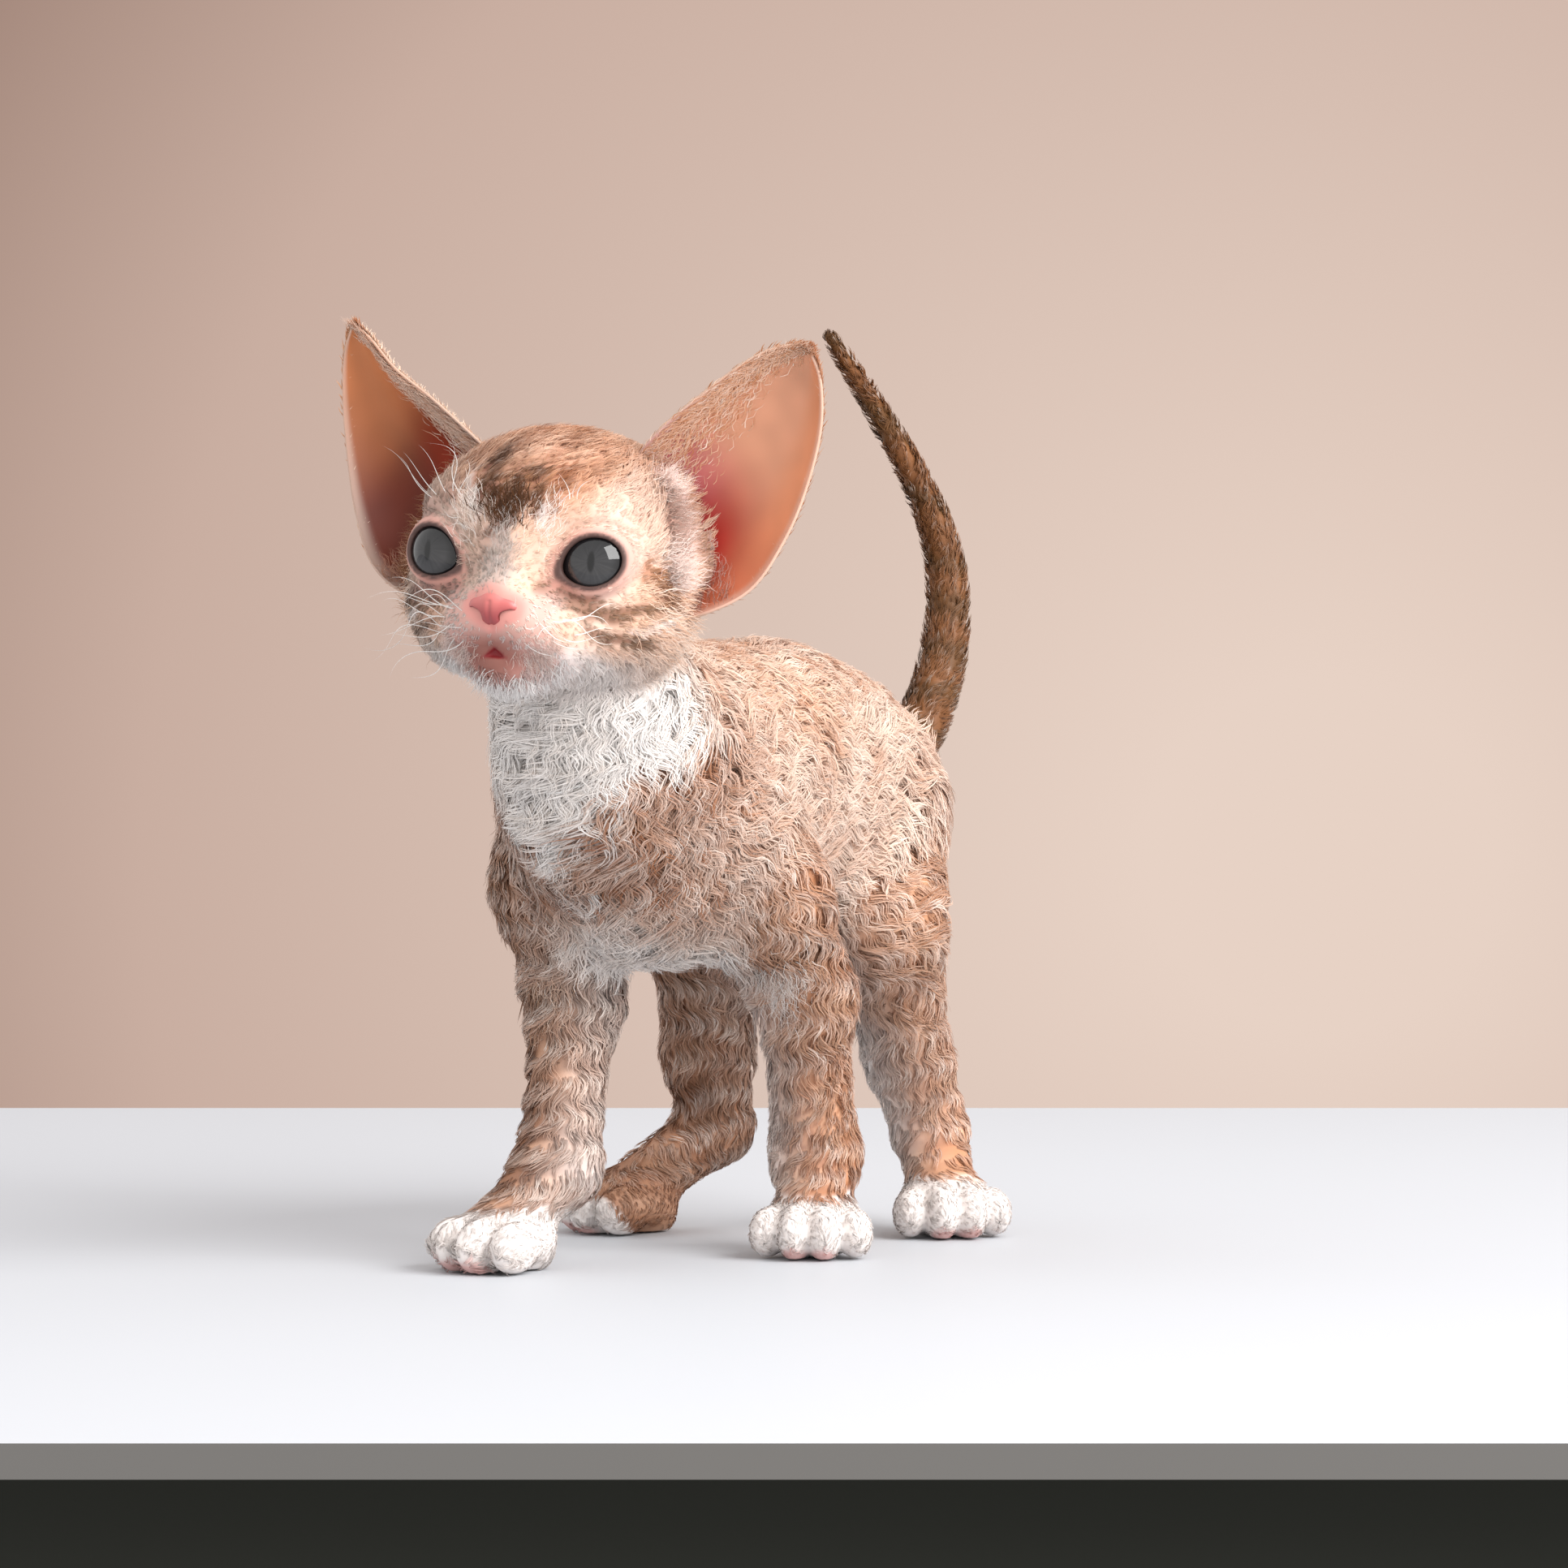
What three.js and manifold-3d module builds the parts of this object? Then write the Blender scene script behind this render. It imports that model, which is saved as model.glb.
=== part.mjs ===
// A Devon Rex kitten of about seven weeks, standing in mid step with its head up and its tail raised, life size.
// Millimetres, +Z up. The kitten faces -Y, its left side is +X, and its paws stand on Z = 0.
import * as THREE from "three";
import { mergeVertices } from "three/addons/utils/BufferGeometryUtils.js";
import Module from "manifold-3d";

const wasm = await Module();
wasm.setup();

const V = (x, y, z) => new THREE.Vector3(x, y, z);
const rad = THREE.MathUtils.degToRad;

// Driving sizes
const GAP = 0.3; // kept between two nodes that touch
const TRUNK = { left: -8, drift: -2.5, front: -59.5, back: 65, width: 41.5, spine: 112.4, belly: 55.6 };
const HEAD = { at: V(-9.5, -63, 127), yaw: 8, roll: 4.2, halfWidth: 27, crown: 21.8 };
const EYE = { radius: 7.6, apart: 13.8, ahead: 12, height: -1.2, outward: 12, wide: 11.8, high: 9.9, lid: 1.3 };
const EAR = { thick: 1.5, edge: 0.9, depth: 13.5 };
const TAIL = { root: 6.2, tip: 1.7 };
const NECK = { low: 18.4, high: 15.2 };
const CLUMP = { long: 23, wide: 15, proud: 2.4, sunk: 1.4 };

// Fields: functions of a point that give its distance to a surface, negative inside.
function ellipsoid(centre, radii, turn = [0, 0, 0]) {
  const unturn = new THREE.Quaternion().setFromEuler(new THREE.Euler(...turn.map(rad))).invert();
  const squared = radii.clone().multiply(radii);
  return (p) => {
    const q = p.clone().sub(centre).applyQuaternion(unturn);
    const level = q.clone().divide(radii).length();
    const slope = q.divide(squared).length();
    return slope < 1e-9 ? -Math.min(...radii) : (level * (level - 1)) / slope;
  };
}

// A round bar from a to b whose radius runs from ra to rb.
function limb(a, b, ra, rb) {
  const along = b.clone().sub(a);
  const l2 = along.lengthSq();
  const taper = ra - rb;
  const a2 = l2 - taper * taper;
  return (p) => {
    const pa = p.clone().sub(a);
    const y = pa.dot(along);
    const z = y - l2;
    const x2 = pa.multiplyScalar(l2).addScaledVector(along, -y).lengthSq();
    const y2 = y * y * l2;
    const z2 = z * z * l2;
    const k = Math.sign(taper) * taper * taper * x2;
    if (Math.sign(z) * a2 * z2 > k) return Math.sqrt(x2 + z2) / l2 - rb;
    if (Math.sign(y) * a2 * y2 < k) return Math.sqrt(x2 + y2) / l2 - ra;
    return (Math.sqrt((x2 * a2) / l2) + y * taper) / l2 - ra;
  };
}

// The union of fields, rounded over a width of k where they meet.
function blend(k, ...fields) {
  return (p) => {
    let near = fields[0](p);
    for (const field of fields.slice(1)) {
      const other = field(p);
      const shared = Math.max(k - Math.abs(near - other), 0) / k;
      near = Math.min(near, other) - (shared * shared * k) / 4;
    }
    return near;
  };
}

// A field seen from another frame.
function placed(field, frame) {
  const inverse = frame.clone().invert();
  return (p) => field(p.clone().applyMatrix4(inverse));
}

// The point where a ray from inside a field leaves it, or the point at its reach.
function surfacePoint(field, from, direction, reach = Infinity) {
  const caution = 0.85;
  const p = from.clone();
  let travelled = 0;
  for (let step = 0; step < 60; step++) {
    const inside = -field(p);
    if (inside < 0.01) break;
    travelled = Math.min(travelled + inside * caution, reach);
    p.copy(from).addScaledVector(direction, travelled);
    if (travelled >= reach) break;
  }
  return p;
}

function outwardAt(field, p) {
  const step = 0.3;
  const slope = (axis) => {
    const ahead = p.clone();
    const behind = p.clone();
    ahead[axis] += step;
    behind[axis] -= step;
    return field(ahead) - field(behind);
  };
  return V(slope("x"), slope("y"), slope("z")).normalize();
}

// Frames along a curve: at share t, its point, its direction and two directions across it that don't twist.
function frameAt(curve, t, side) {
  const point = curve.getPointAt(t);
  const along = curve.getTangentAt(t);
  const across = side.clone().addScaledVector(along, -side.dot(along)).normalize();
  return { point, along, across, up: along.clone().cross(across) };
}

// A closed mesh from rows of points with a single point at either end.
function closedRows(first, rows, last) {
  const sides = rows[0].length;
  const points = [first, ...rows.flat(), last];
  const index = [];
  const at = (row, i) => 1 + row * sides + (i % sides);
  const end = points.length - 1;
  for (let i = 0; i < sides; i++) {
    index.push(0, at(0, i + 1), at(0, i), end, at(rows.length - 1, i), at(rows.length - 1, i + 1));
    for (let row = 0; row + 1 < rows.length; row++) {
      index.push(at(row, i), at(row, i + 1), at(row + 1, i + 1), at(row, i), at(row + 1, i + 1), at(row + 1, i));
    }
  }
  const geometry = new THREE.BufferGeometry().setFromPoints(points);
  geometry.setIndex(index);
  return geometry;
}

// A closed mesh on a field's surface, from rays sent out across a bent axis and round its two ends.
function wrap(field, curve, { sides = 16, rings = 12, capRings = 3, reach = Infinity, side = V(1, 0, 0) }) {
  const row = (t, lean) => {
    const { point, along, across, up } = frameAt(curve, t, side);
    return Array.from({ length: sides }, (_, i) => {
      const angle = (2 * Math.PI * i) / sides;
      const direction = across.clone().multiplyScalar(Math.cos(angle)).addScaledVector(up, Math.sin(angle));
      direction.multiplyScalar(Math.cos(lean)).addScaledVector(along, Math.sin(lean));
      return surfacePoint(field, point, direction, reach);
    });
  };
  const tip = (t, sign) => {
    const { point, along } = frameAt(curve, t, side);
    return surfacePoint(field, point, along.multiplyScalar(sign), reach);
  };
  const leans = Array.from({ length: capRings }, (_, i) => (Math.PI / 2) * (1 - (i + 1) / (capRings + 1)));
  const rows = [
    ...leans.map((lean) => row(0, -lean)),
    ...Array.from({ length: rings }, (_, i) => row(i / (rings - 1), 0)),
    ...leans.reverse().map((lean) => row(1, lean)),
  ];
  return closedRows(tip(0, -1), rows, tip(1, 1));
}

// A closed mesh on a field's surface, from rays sent out all round one centre and crowded towards one direction.
function wrapBall(field, centre, detail, towards = V(0, 0, 1), crowding = 1) {
  const ball = new THREE.IcosahedronGeometry(1, detail);
  ball.deleteAttribute("normal");
  ball.deleteAttribute("uv");
  const merged = mergeVertices(ball, 1e-4);
  const position = merged.attributes.position;
  for (let i = 0; i < position.count; i++) {
    const direction = V(0, 0, 0).fromBufferAttribute(position, i).normalize();
    const away = direction.angleTo(towards);
    const wanted = Math.PI * (away / Math.PI) ** crowding;
    const hinge = towards.clone().cross(direction).normalize();
    if (hinge.lengthSq() > 0.5) direction.copy(towards).applyAxisAngle(hinge, wanted);
    position.setXYZ(i, ...surfacePoint(field, centre, direction));
  }
  return merged;
}

// Solids
function solid(geometry) {
  const bare = geometry.index ? geometry.toNonIndexed() : geometry.clone();
  bare.deleteAttribute("normal");
  bare.deleteAttribute("uv");
  const merged = mergeVertices(bare, 1e-4);
  return new wasm.Manifold(
    new wasm.Mesh({
      numProp: 3,
      vertProperties: merged.attributes.position.array,
      triVerts: new Uint32Array(merged.index.array),
    }),
  );
}

const largest = (made) => made.decompose().reduce((a, b) => (b.volume() > a.volume() ? b : a));

// Half of space as a large box, on the side of the plane that its outward direction points to.
function beyond(point, outward) {
  const size = 400;
  const box = new THREE.BoxGeometry(size, size, size).translate(0, 0, size / 2);
  box.applyQuaternion(new THREE.Quaternion().setFromUnitVectors(V(0, 0, 1), outward.clone().normalize()));
  return solid(box.translate(point.x, point.y, point.z));
}

// Keeps the side of a cut that the plane's outward direction leaves behind.
const cutBack = (made, point, outward) => made.subtract(beyond(point, outward));

function randomFrom(seed) {
  let state = seed;
  return () => {
    state = (state * 1664525 + 1013904223) % 4294967296;
    return state / 4294967296;
  };
}

// The trunk: a chest, a waist and a rump.
const trunkHeight = TRUNK.spine - TRUNK.belly;
const trunkLength = TRUNK.back - TRUNK.front;
const trunkMiddle = TRUNK.belly + trunkHeight / 2;
const chestAt = V(TRUNK.left, TRUNK.front + 0.24 * trunkLength, trunkMiddle - 1);
const waistAt = V(TRUNK.left + TRUNK.drift / 2, TRUNK.front + 0.52 * trunkLength, trunkMiddle + 2.5);
const rumpAt = V(TRUNK.left + TRUNK.drift, TRUNK.back - 0.23 * trunkLength, trunkMiddle - 5.5);
const trunkField = blend(
  12,
  ellipsoid(chestAt, V(TRUNK.width / 2, 0.24 * trunkLength, trunkHeight / 2)),
  ellipsoid(waistAt, V(TRUNK.width / 2 - 1, 0.3 * trunkLength, trunkHeight / 2 - 3)),
  ellipsoid(rumpAt, V(TRUNK.width / 2 - 3.5, 0.225 * trunkLength, trunkHeight / 2 - 3)),
);
const trunkAxis = new THREE.CatmullRomCurve3([
  chestAt.clone().add(V(0, -12, 0)),
  chestAt,
  waistAt,
  rumpAt,
  rumpAt.clone().add(V(0, 12, 1)),
]);

// The head's own frame: x to its left, y to its back, z up.
const headFrame = new THREE.Matrix4()
  .makeRotationZ(rad(HEAD.yaw))
  .multiply(new THREE.Matrix4().makeRotationY(rad(HEAD.roll)))
  .setPosition(HEAD.at);
const inHead = (x, y, z) => V(x, y, z).applyMatrix4(headFrame);

const eyeAt = (side) => V(side * EYE.apart, -EYE.ahead, EYE.height);
const gazeOf = (side) => V(side * Math.sin(rad(EYE.outward)), -Math.cos(rad(EYE.outward)), 0.04).normalize();
const bothSides = (make) => [make(-1), make(1)];

const faceField = blend(
  5,
  ellipsoid(V(0, 3, HEAD.crown - 20), V(HEAD.halfWidth - 2.5, 25.5, 20)),
  ellipsoid(V(0, -5, -11.5), V(HEAD.halfWidth - 7, 17.5, 12.5)),
  ...bothSides((side) => ellipsoid(V(side * 14.5, -1, -8.5), V(HEAD.halfWidth - 15, 15, 13))),
  ...bothSides((side) => ellipsoid(V(side * 21, 5, 3), V(7, 9, 13), [0, side * 20, 0])),
);
const muzzleField = blend(
  3,
  limb(V(0, -15, 0), V(0, -21, -7.5), 6.2, 4.6),
  ...bothSides((side) => ellipsoid(V(side * 4.9, -17.2, -13.4), V(6.9, 7.6, 5.7))),
  ellipsoid(V(0, -16.8, -19.6), V(7, 6.6, 4.9)),
  ellipsoid(V(0, -12, -13), V(14, 9, 9)),
);
const lidField = blend(
  1,
  ...bothSides((side) => ellipsoid(eyeAt(side), V(1, 1, 1).multiplyScalar(EYE.radius + EYE.lid))),
);
const browField = blend(2, ...bothSides((side) => ellipsoid(V(side * 11, -13, 7.5), V(8.5, 6.5, 5))));
const headField = blend(3, blend(6, faceField, muzzleField, browField), lidField);
const headFieldInPlace = placed(headField, headFrame);

const noseField = blend(
  1.5,
  ellipsoid(V(0, -23.6, -9.6), V(3.2, 3.1, 3.5)),
  ...bothSides((side) => ellipsoid(V(side * 2.9, -23, -10.4), V(2.4, 2.6, 2.3))),
);

// The opening between the lids, as a plug along the gaze: round, with its inner corner drawn down to the nose.
function lidOpening(side) {
  const corners = 14;
  const points = Array.from({ length: corners }, (_, i) => {
    const angle = (2 * Math.PI * i) / corners;
    const inner = Math.max(0, -Math.cos(angle)) ** 4;
    const x = side * ((EYE.wide / 2) * Math.cos(angle) - 0.9 * inner);
    return new THREE.Vector2(x, (EYE.high / 2) * Math.sin(angle) - 1.3 * inner + 0.06 * EYE.high * Math.cos(angle));
  });
  if (side < 0) points.reverse();
  const plug = new THREE.ExtrudeGeometry(new THREE.Shape(points), { depth: 16, bevelEnabled: false });
  const gaze = gazeOf(side);
  const left = V(0, 0, 1).cross(gaze).negate().normalize();
  const turn = new THREE.Matrix4().makeBasis(left.clone().negate(), V(0, 0, 1), gaze);
  plug.applyMatrix4(turn.setPosition(eyeAt(side).addScaledVector(gaze, 1)));
  return plug;
}

// A thin tube along points, for a groove.
function tube(points, radius, sides = 6) {
  const circle = Array.from({ length: sides }, (_, i) => {
    const angle = (2 * Math.PI * i) / sides;
    return new THREE.Vector2(radius * Math.cos(angle), radius * Math.sin(angle));
  });
  return new THREE.ExtrudeGeometry(new THREE.Shape(circle), {
    extrudePath: new THREE.CatmullRomCurve3(points),
    steps: 2 * (points.length - 1),
    bevelEnabled: false,
  });
}

// Points on the head's surface, looked at from in front at places across and up.
const onFace = (places) =>
  places.map(([x, z]) => surfacePoint(headField, V(x * 0.5, -10, z * 0.8), V(x * 0.5, -14, z * 0.2).normalize()));

const grooves = [
  tube(onFace([[0, -13], [0, -15], [0, -17]]), 0.5, 5),
  ...bothSides((side) => tube(onFace([[0, -16.6], [side * 2.6, -18], [side * 5.5, -18.4], [side * 8, -17.4]]), 0.6, 5)),
];
const mouthGap = new THREE.OctahedronGeometry(1, 1).scale(3, 2.4, 1.2).translate(0, -23.6, -17.6);
const nostrils = bothSides((side) =>
  new THREE.OctahedronGeometry(1, 1)
    .scale(1.7, 2, 0.9)
    .rotateY(side * 0.5)
    .translate(side * 3, -25.6, -11.2),
);

const ballOf = (radius, at) => new THREE.SphereGeometry(radius, 14, 10).rotateX(Math.PI / 2).translate(...at);
const inHeadFrame = (geometry) => solid(geometry.applyMatrix4(headFrame));

const skullCentre = V(0, -3, -2);

function makeHead() {
  let head = inHeadFrame(wrapBall(headField, skullCentre, 7, V(0, -1, 0), 1.35));
  const cutters = [
    ...bothSides((side) => ballOf(EYE.radius + GAP, eyeAt(side))),
    ...bothSides(lidOpening),
    ...grooves,
    mouthGap,
    wrapBall((p) => noseField(p) - GAP, V(0, -23.2, -9.8), 3),
  ];
  for (const cutter of cutters) head = head.subtract(inHeadFrame(cutter));
  for (const side of [-1, 1]) head = head.subtract(earHollow(side));
  return largest(head);
}

function makeNose() {
  let nose = inHeadFrame(wrapBall(noseField, V(0, -23.2, -9.8), 3));
  for (const nostril of nostrils) nose = nose.subtract(inHeadFrame(nostril));
  return largest(nose);
}

const makeEye = (side) => inHeadFrame(ballOf(EYE.radius, eyeAt(side)));

// The ears: broad cups whose inner edge runs from the crown, and outer edge from low on the cheek, to one tip.
// The right ear is turned further aside, so its inner edge runs lower.
const earTip = (side) => V(side * 43.7, 3, 38);
const earBack = (side) => V(side * -0.2, 0.97, -0.14).normalize();
const innerEdge = (side) =>
  new THREE.CatmullRomCurve3([
    V(side * 10, 2, 13),
    V(side * 17, 0.2, side > 0 ? 21.5 : 19),
    V(side * 26, 0.7, side > 0 ? 29.8 : 25.4),
    V(side * 34, 1.6, side > 0 ? 36 : 30.3),
    V(side * 40, 2.5, side > 0 ? 38.4 : 35.6),
    earTip(side),
  ]);
const outerEdge = (side) =>
  new THREE.CatmullRomCurve3([
    V(side * 20, 0, -10.5),
    V(side * 29, -1, -8.6),
    V(side * 36.5, 1.5, -3.8),
    V(side * 41.2, 3.7, 5),
    V(side * 44, 5, 14),
    V(side * 45.8, 5.3, 24),
    V(side * 45.6, 4.3, 32.5),
    earTip(side),
  ]);

// A point of the ear's middle sheet: s runs from the inner to the outer edge and t from the root to the tip.
function earSheet(side) {
  const inner = innerEdge(side);
  const outer = outerEdge(side);
  const back = earBack(side);
  return (s, t) => {
    const bow = EAR.depth * (1 - t) ** 0.75 * Math.sin(Math.PI * s) ** 0.8;
    return inner.getPointAt(t).lerp(outer.getPointAt(t), s).addScaledVector(back, bow);
  };
}

// A slab with the ear's bowed sheet on one face: rows of points up the sheet, moved by a front and a back amount.
function earSlab(side, { across, up, reach, moveAt }) {
  const middle = earSheet(side);
  const share = (i) => 0.5 - 0.5 * Math.cos((Math.PI * i) / across);
  const sheet = (face) =>
    Array.from({ length: up }, (_, j) =>
      Array.from({ length: across + 1 }, (_, i) => {
        const s = share(i);
        const t = (reach * j) / (up - 1);
        const ahead = middle(Math.min(s + 0.02, 1), t).sub(middle(Math.max(s - 0.02, 0), t));
        const rise = middle(s, Math.min(t + 0.02, 1)).sub(middle(s, Math.max(t - 0.02, 0)));
        const outward = ahead.cross(rise).multiplyScalar(side).normalize();
        return middle(s, t).add(moveAt(face, s, outward));
      }),
    );
  const front = sheet(-1);
  const behind = sheet(1);
  const loops = front.map((row, j) => [...row, ...behind[j].slice().reverse()]);
  const mean = (row) => row.reduce((sum, p) => sum.add(p), V(0, 0, 0)).divideScalar(row.length);
  const geometry = closedRows(mean(loops[0]), loops, mean(loops[up - 1]));
  if (solid(geometry).volume() < 0) geometry.setIndex([...geometry.index.array].reverse());
  return geometry;
}

const earShell = (side) =>
  earSlab(side, {
    across: 8,
    up: 11,
    reach: 0.985,
    moveAt: (face, s, outward) => {
      const thick = EAR.edge + (EAR.thick - EAR.edge) * Math.sin(Math.PI * s);
      return outward.multiplyScalar((face * thick) / 2);
    },
  });

// The hollow of the ear in the side of the head: all that lies in front of the bowed sheet near the ear's root.
function earHollow(side) {
  const forward = earBack(side).negate();
  const ahead = earSlab(side, {
    across: 8,
    up: 7,
    reach: 0.5,
    moveAt: (face, s, outward) =>
      face < 0 ? forward.clone().multiplyScalar(30) : outward.multiplyScalar(-EAR.thick / 2),
  });
  const conch = new THREE.SphereGeometry(1, 12, 8).scale(12, 14, 12).translate(side * 32, 2, 9);
  return inHeadFrame(ahead).intersect(inHeadFrame(conch));
}

const makeEar = (side, head) => largest(inHeadFrame(earShell(side)).subtract(head));

// The legs: for each the joints from the top down, the radii there, and the paw.
const LEGS = {
  foreleg_right: {
    joints: [V(-23, -41, 84), V(-25, -38, 68), V(-26, -31, 47), V(-23.5, -40.5, 18)],
    radii: [10.8, 11.6, 8.8, 7.6],
    paw: { at: V(-27, -53, 0), heading: -18, fore: true },
  },
  foreleg_left: {
    joints: [V(5, -30, 84), V(7.5, -20, 66), V(7, -5, 47), V(5, 3, 18)],
    radii: [10.8, 11.6, 9.2, 8],
    paw: { at: V(8.5, -4, 0), heading: 24, fore: true },
  },
  hind_leg_right: {
    joints: [V(-20, 38, 80), V(-28, 20, 60), V(-33, 28, 34), V(-34, 33, 20)],
    radii: [13.3, 12.3, 8.6, 6.8],
    paw: { at: V(-45, 18, 0), heading: -37, fore: false },
  },
  hind_leg_left: {
    joints: [V(-1, 38, 80), V(5, 26, 60), V(2, 44, 33), V(3, 50, 20)],
    radii: [13.3, 12.8, 8.2, 7],
    paw: { at: V(11, 42, 0), heading: 42, fore: false },
  },
};
const PAW = { toe: 3.8, spread: 5.2, ahead: 6.6, cut: 11.2 };

// A paw's own frame: its toes point to -y, and its sole lies on z = 0.
const pawFrame = ({ at, heading }) => new THREE.Matrix4().makeRotationZ(rad(heading)).setPosition(at);
const TOES = [-1.5, -0.5, 0.5, 1.5].map((place) => {
  const outer = Math.abs(place) > 1;
  return {
    at: V(place * PAW.spread, outer ? 2.6 - PAW.ahead : -PAW.ahead, 4.7),
    radii: V(PAW.toe, outer ? 6.2 : 6.8, outer ? 5.1 : 5.7),
    turn: place * 7,
  };
});

function palmField(paw) {
  const palm = ellipsoid(V(0, 1.5, 5.6), V(9.4, 9, 6));
  const heel = ellipsoid(V(0, 4, 2.5), V(6, 5.5, 3.5));
  return placed(blend(3, palm, heel), pawFrame(paw));
}

function legField({ joints, radii, paw }) {
  const bars = joints.slice(1).map((joint, i) => limb(joints[i], joint, radii[i], radii[i + 1]));
  const toPaw = limb(joints.at(-1), paw.at.clone().add(V(0, 0, 6.5)), radii.at(-1), 6.2);
  return blend(4, blend(6, ...bars), toPaw, palmField(paw));
}

const legCurve = ({ joints, paw }) =>
  new THREE.CatmullRomCurve3([...joints, paw.at.clone().add(V(0, 0, 7))], false, "catmullrom", 0.3);
const legWrap = { sides: 14, rings: 12, capRings: 2, reach: 19 };

// The cut between leg and paw: a plane through the wrist that faces along the paw and up.
function pawCut({ paw }) {
  const ahead = V(0, -1, 0).applyAxisAngle(V(0, 0, 1), rad(paw.heading));
  const outward = V(0, 0, 1).addScaledVector(ahead, paw.fore ? -0.25 : -0.45).normalize();
  return { point: paw.at.clone().add(V(0, 0, PAW.cut)), outward };
}

// A paw: the palm with four rounded toes, cut flat at the floor.
function makePaw(leg) {
  const frame = pawFrame(leg.paw);
  const ahead = V(0, -1, 0).applyAxisAngle(V(0, 0, 1), rad(leg.paw.heading));
  const centre = leg.paw.at.clone().add(V(0, 0, 5));
  const toes = TOES.map(({ at, radii, turn }) =>
    solid(
      new THREE.SphereGeometry(1, 8, 6)
        .rotateX(Math.PI / 2)
        .scale(...radii)
        .rotateZ(rad(turn))
        .translate(...at)
        .applyMatrix4(frame),
    ),
  );
  const palm = solid(wrapBall(legField(leg), centre, 2, ahead));
  return cutBack(wasm.Manifold.union([palm, ...toes]), V(0, 0, 0), V(0, 0, -1));
}

// The neck, from inside the trunk to inside the head.
const neckLow = V(-8.5, -44, 90);
const neckHigh = V(-9.5, -58, 118);
const neckField = blend(
  10,
  limb(neckLow, neckHigh, NECK.low, NECK.high),
  ellipsoid(V(-9, -53, 90), V(13, 11.5, 19), [-8, 0, 0]),
);

// The tail, up from the rump and forward to its tip.
const tailCurve = new THREE.CatmullRomCurve3([
  V(-9, 58, 88),
  V(-7.5, 67, 97),
  V(-6.5, 73, 109),
  V(-6.5, 75, 122),
  V(-7.5, 72.5, 134),
  V(-9.5, 65, 146),
  V(-12.5, 53, 160),
  V(-14.5, 43, 170),
]);
const tailRadius = (t) => TAIL.root + (TAIL.tip - TAIL.root) * t ** 1.25;

function makeTail(by = 0) {
  const rings = 22;
  const sides = 12;
  const rows = Array.from({ length: rings }, (_, j) => {
    const t = j / (rings - 1);
    const { point, across, up } = frameAt(tailCurve, t, V(1, 0, 0));
    return Array.from({ length: sides }, (_, i) => {
      const angle = (2 * Math.PI * i) / sides;
      const direction = across.clone().multiplyScalar(Math.cos(angle)).addScaledVector(up, Math.sin(angle));
      return point.clone().addScaledVector(direction, tailRadius(t) + by);
    });
  });
  const tip = tailCurve.getPointAt(1).addScaledVector(tailCurve.getTangentAt(1), TAIL.tip + by);
  return solid(closedRows(tailCurve.getPointAt(0), rows, tip));
}

// The wavy coat: rounded clumps in staggered rows, each bent to one side and the next row to the other.
function clump(at, outward, lie, size, bend) {
  const shape = new THREE.SphereGeometry(1, 6, 4).rotateZ(-Math.PI / 2);
  const position = shape.attributes.position;
  for (let i = 0; i < position.count; i++) {
    const x = position.getX(i);
    const sway = bend * 0.34 * Math.cos(x * 2.2);
    position.setXYZ(i, (x * size.long) / 2, (position.getY(i) * 0.5 + sway) * size.wide, position.getZ(i));
  }
  shape.scale(1, 1, (size.proud + size.sunk) / 2);
  const along = lie.clone().addScaledVector(outward, -lie.dot(outward)).normalize();
  const aside = outward.clone().cross(along);
  const middle = at.clone().addScaledVector(outward, (size.proud - size.sunk) / 2);
  return solid(shape.applyMatrix4(new THREE.Matrix4().makeBasis(along, aside, outward).setPosition(middle)));
}

// Clumps over a field, on rays sent out across its axis between two shares of the axis, where there is skin to root in.
function coat(field, curve, { size, from = 0, to = 1, lie, bare, seed }) {
  const random = randomFrom(seed);
  const steps = Math.max(1, Math.round((curve.getLength() * (to - from)) / (size.long * 0.86)));
  const clumps = [];
  for (let row = 0; row <= steps; row++) {
    const { point, across, up } = frameAt(curve, from + ((to - from) * row) / steps, V(1, 0, 0));
    const ray = (angle) => across.clone().multiplyScalar(Math.cos(angle)).addScaledVector(up, Math.sin(angle));
    const girth = 2 * Math.PI * surfacePoint(field, point, ray(0.8)).distanceTo(point);
    const count = Math.round(girth / (size.wide * 1.02));
    for (let i = 0; i < count; i++) {
      const angle = (2 * Math.PI * (i + (row % 2) / 2 + 0.25 * (random() - 0.5))) / count;
      const at = surfacePoint(field, point, ray(angle));
      const grown = 0.88 + 0.24 * random();
      const varied = { ...size, long: size.long * grown, wide: size.wide * grown };
      if (bare(at)) continue;
      clumps.push(clump(at, outwardAt(field, at), lie(at, random), varied, row % 2 ? 1 : -1));
    }
  }
  return wasm.Manifold.union(clumps);
}

// The nodes
const COLOURS = {
  red: ["#c99a72", 0.9],
  white: ["#efe9e4", 0.9],
  skin: ["#d98a86", 0.6],
  eye: ["#4d5560", 0.1],
};
const group = new THREE.Group();

// Adds a solid as a mesh placed by its own middle.
function addNode(name, made, colour) {
  const mesh = made.getMesh();
  const geometry = new THREE.BufferGeometry();
  geometry.setAttribute("position", new THREE.Float32BufferAttribute(mesh.vertProperties, 3));
  geometry.setIndex(new THREE.BufferAttribute(mesh.triVerts, 1));
  geometry.computeBoundingBox();
  const middle = geometry.boundingBox.getCenter(V(0, 0, 0)).round();
  geometry.translate(-middle.x, -middle.y, -middle.z);
  const [shade, roughness] = COLOURS[colour];
  const node = new THREE.Mesh(geometry, new THREE.MeshStandardMaterial({ color: shade, roughness, metalness: 0 }));
  node.name = name;
  node.position.copy(middle);
  group.add(node);
}

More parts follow.
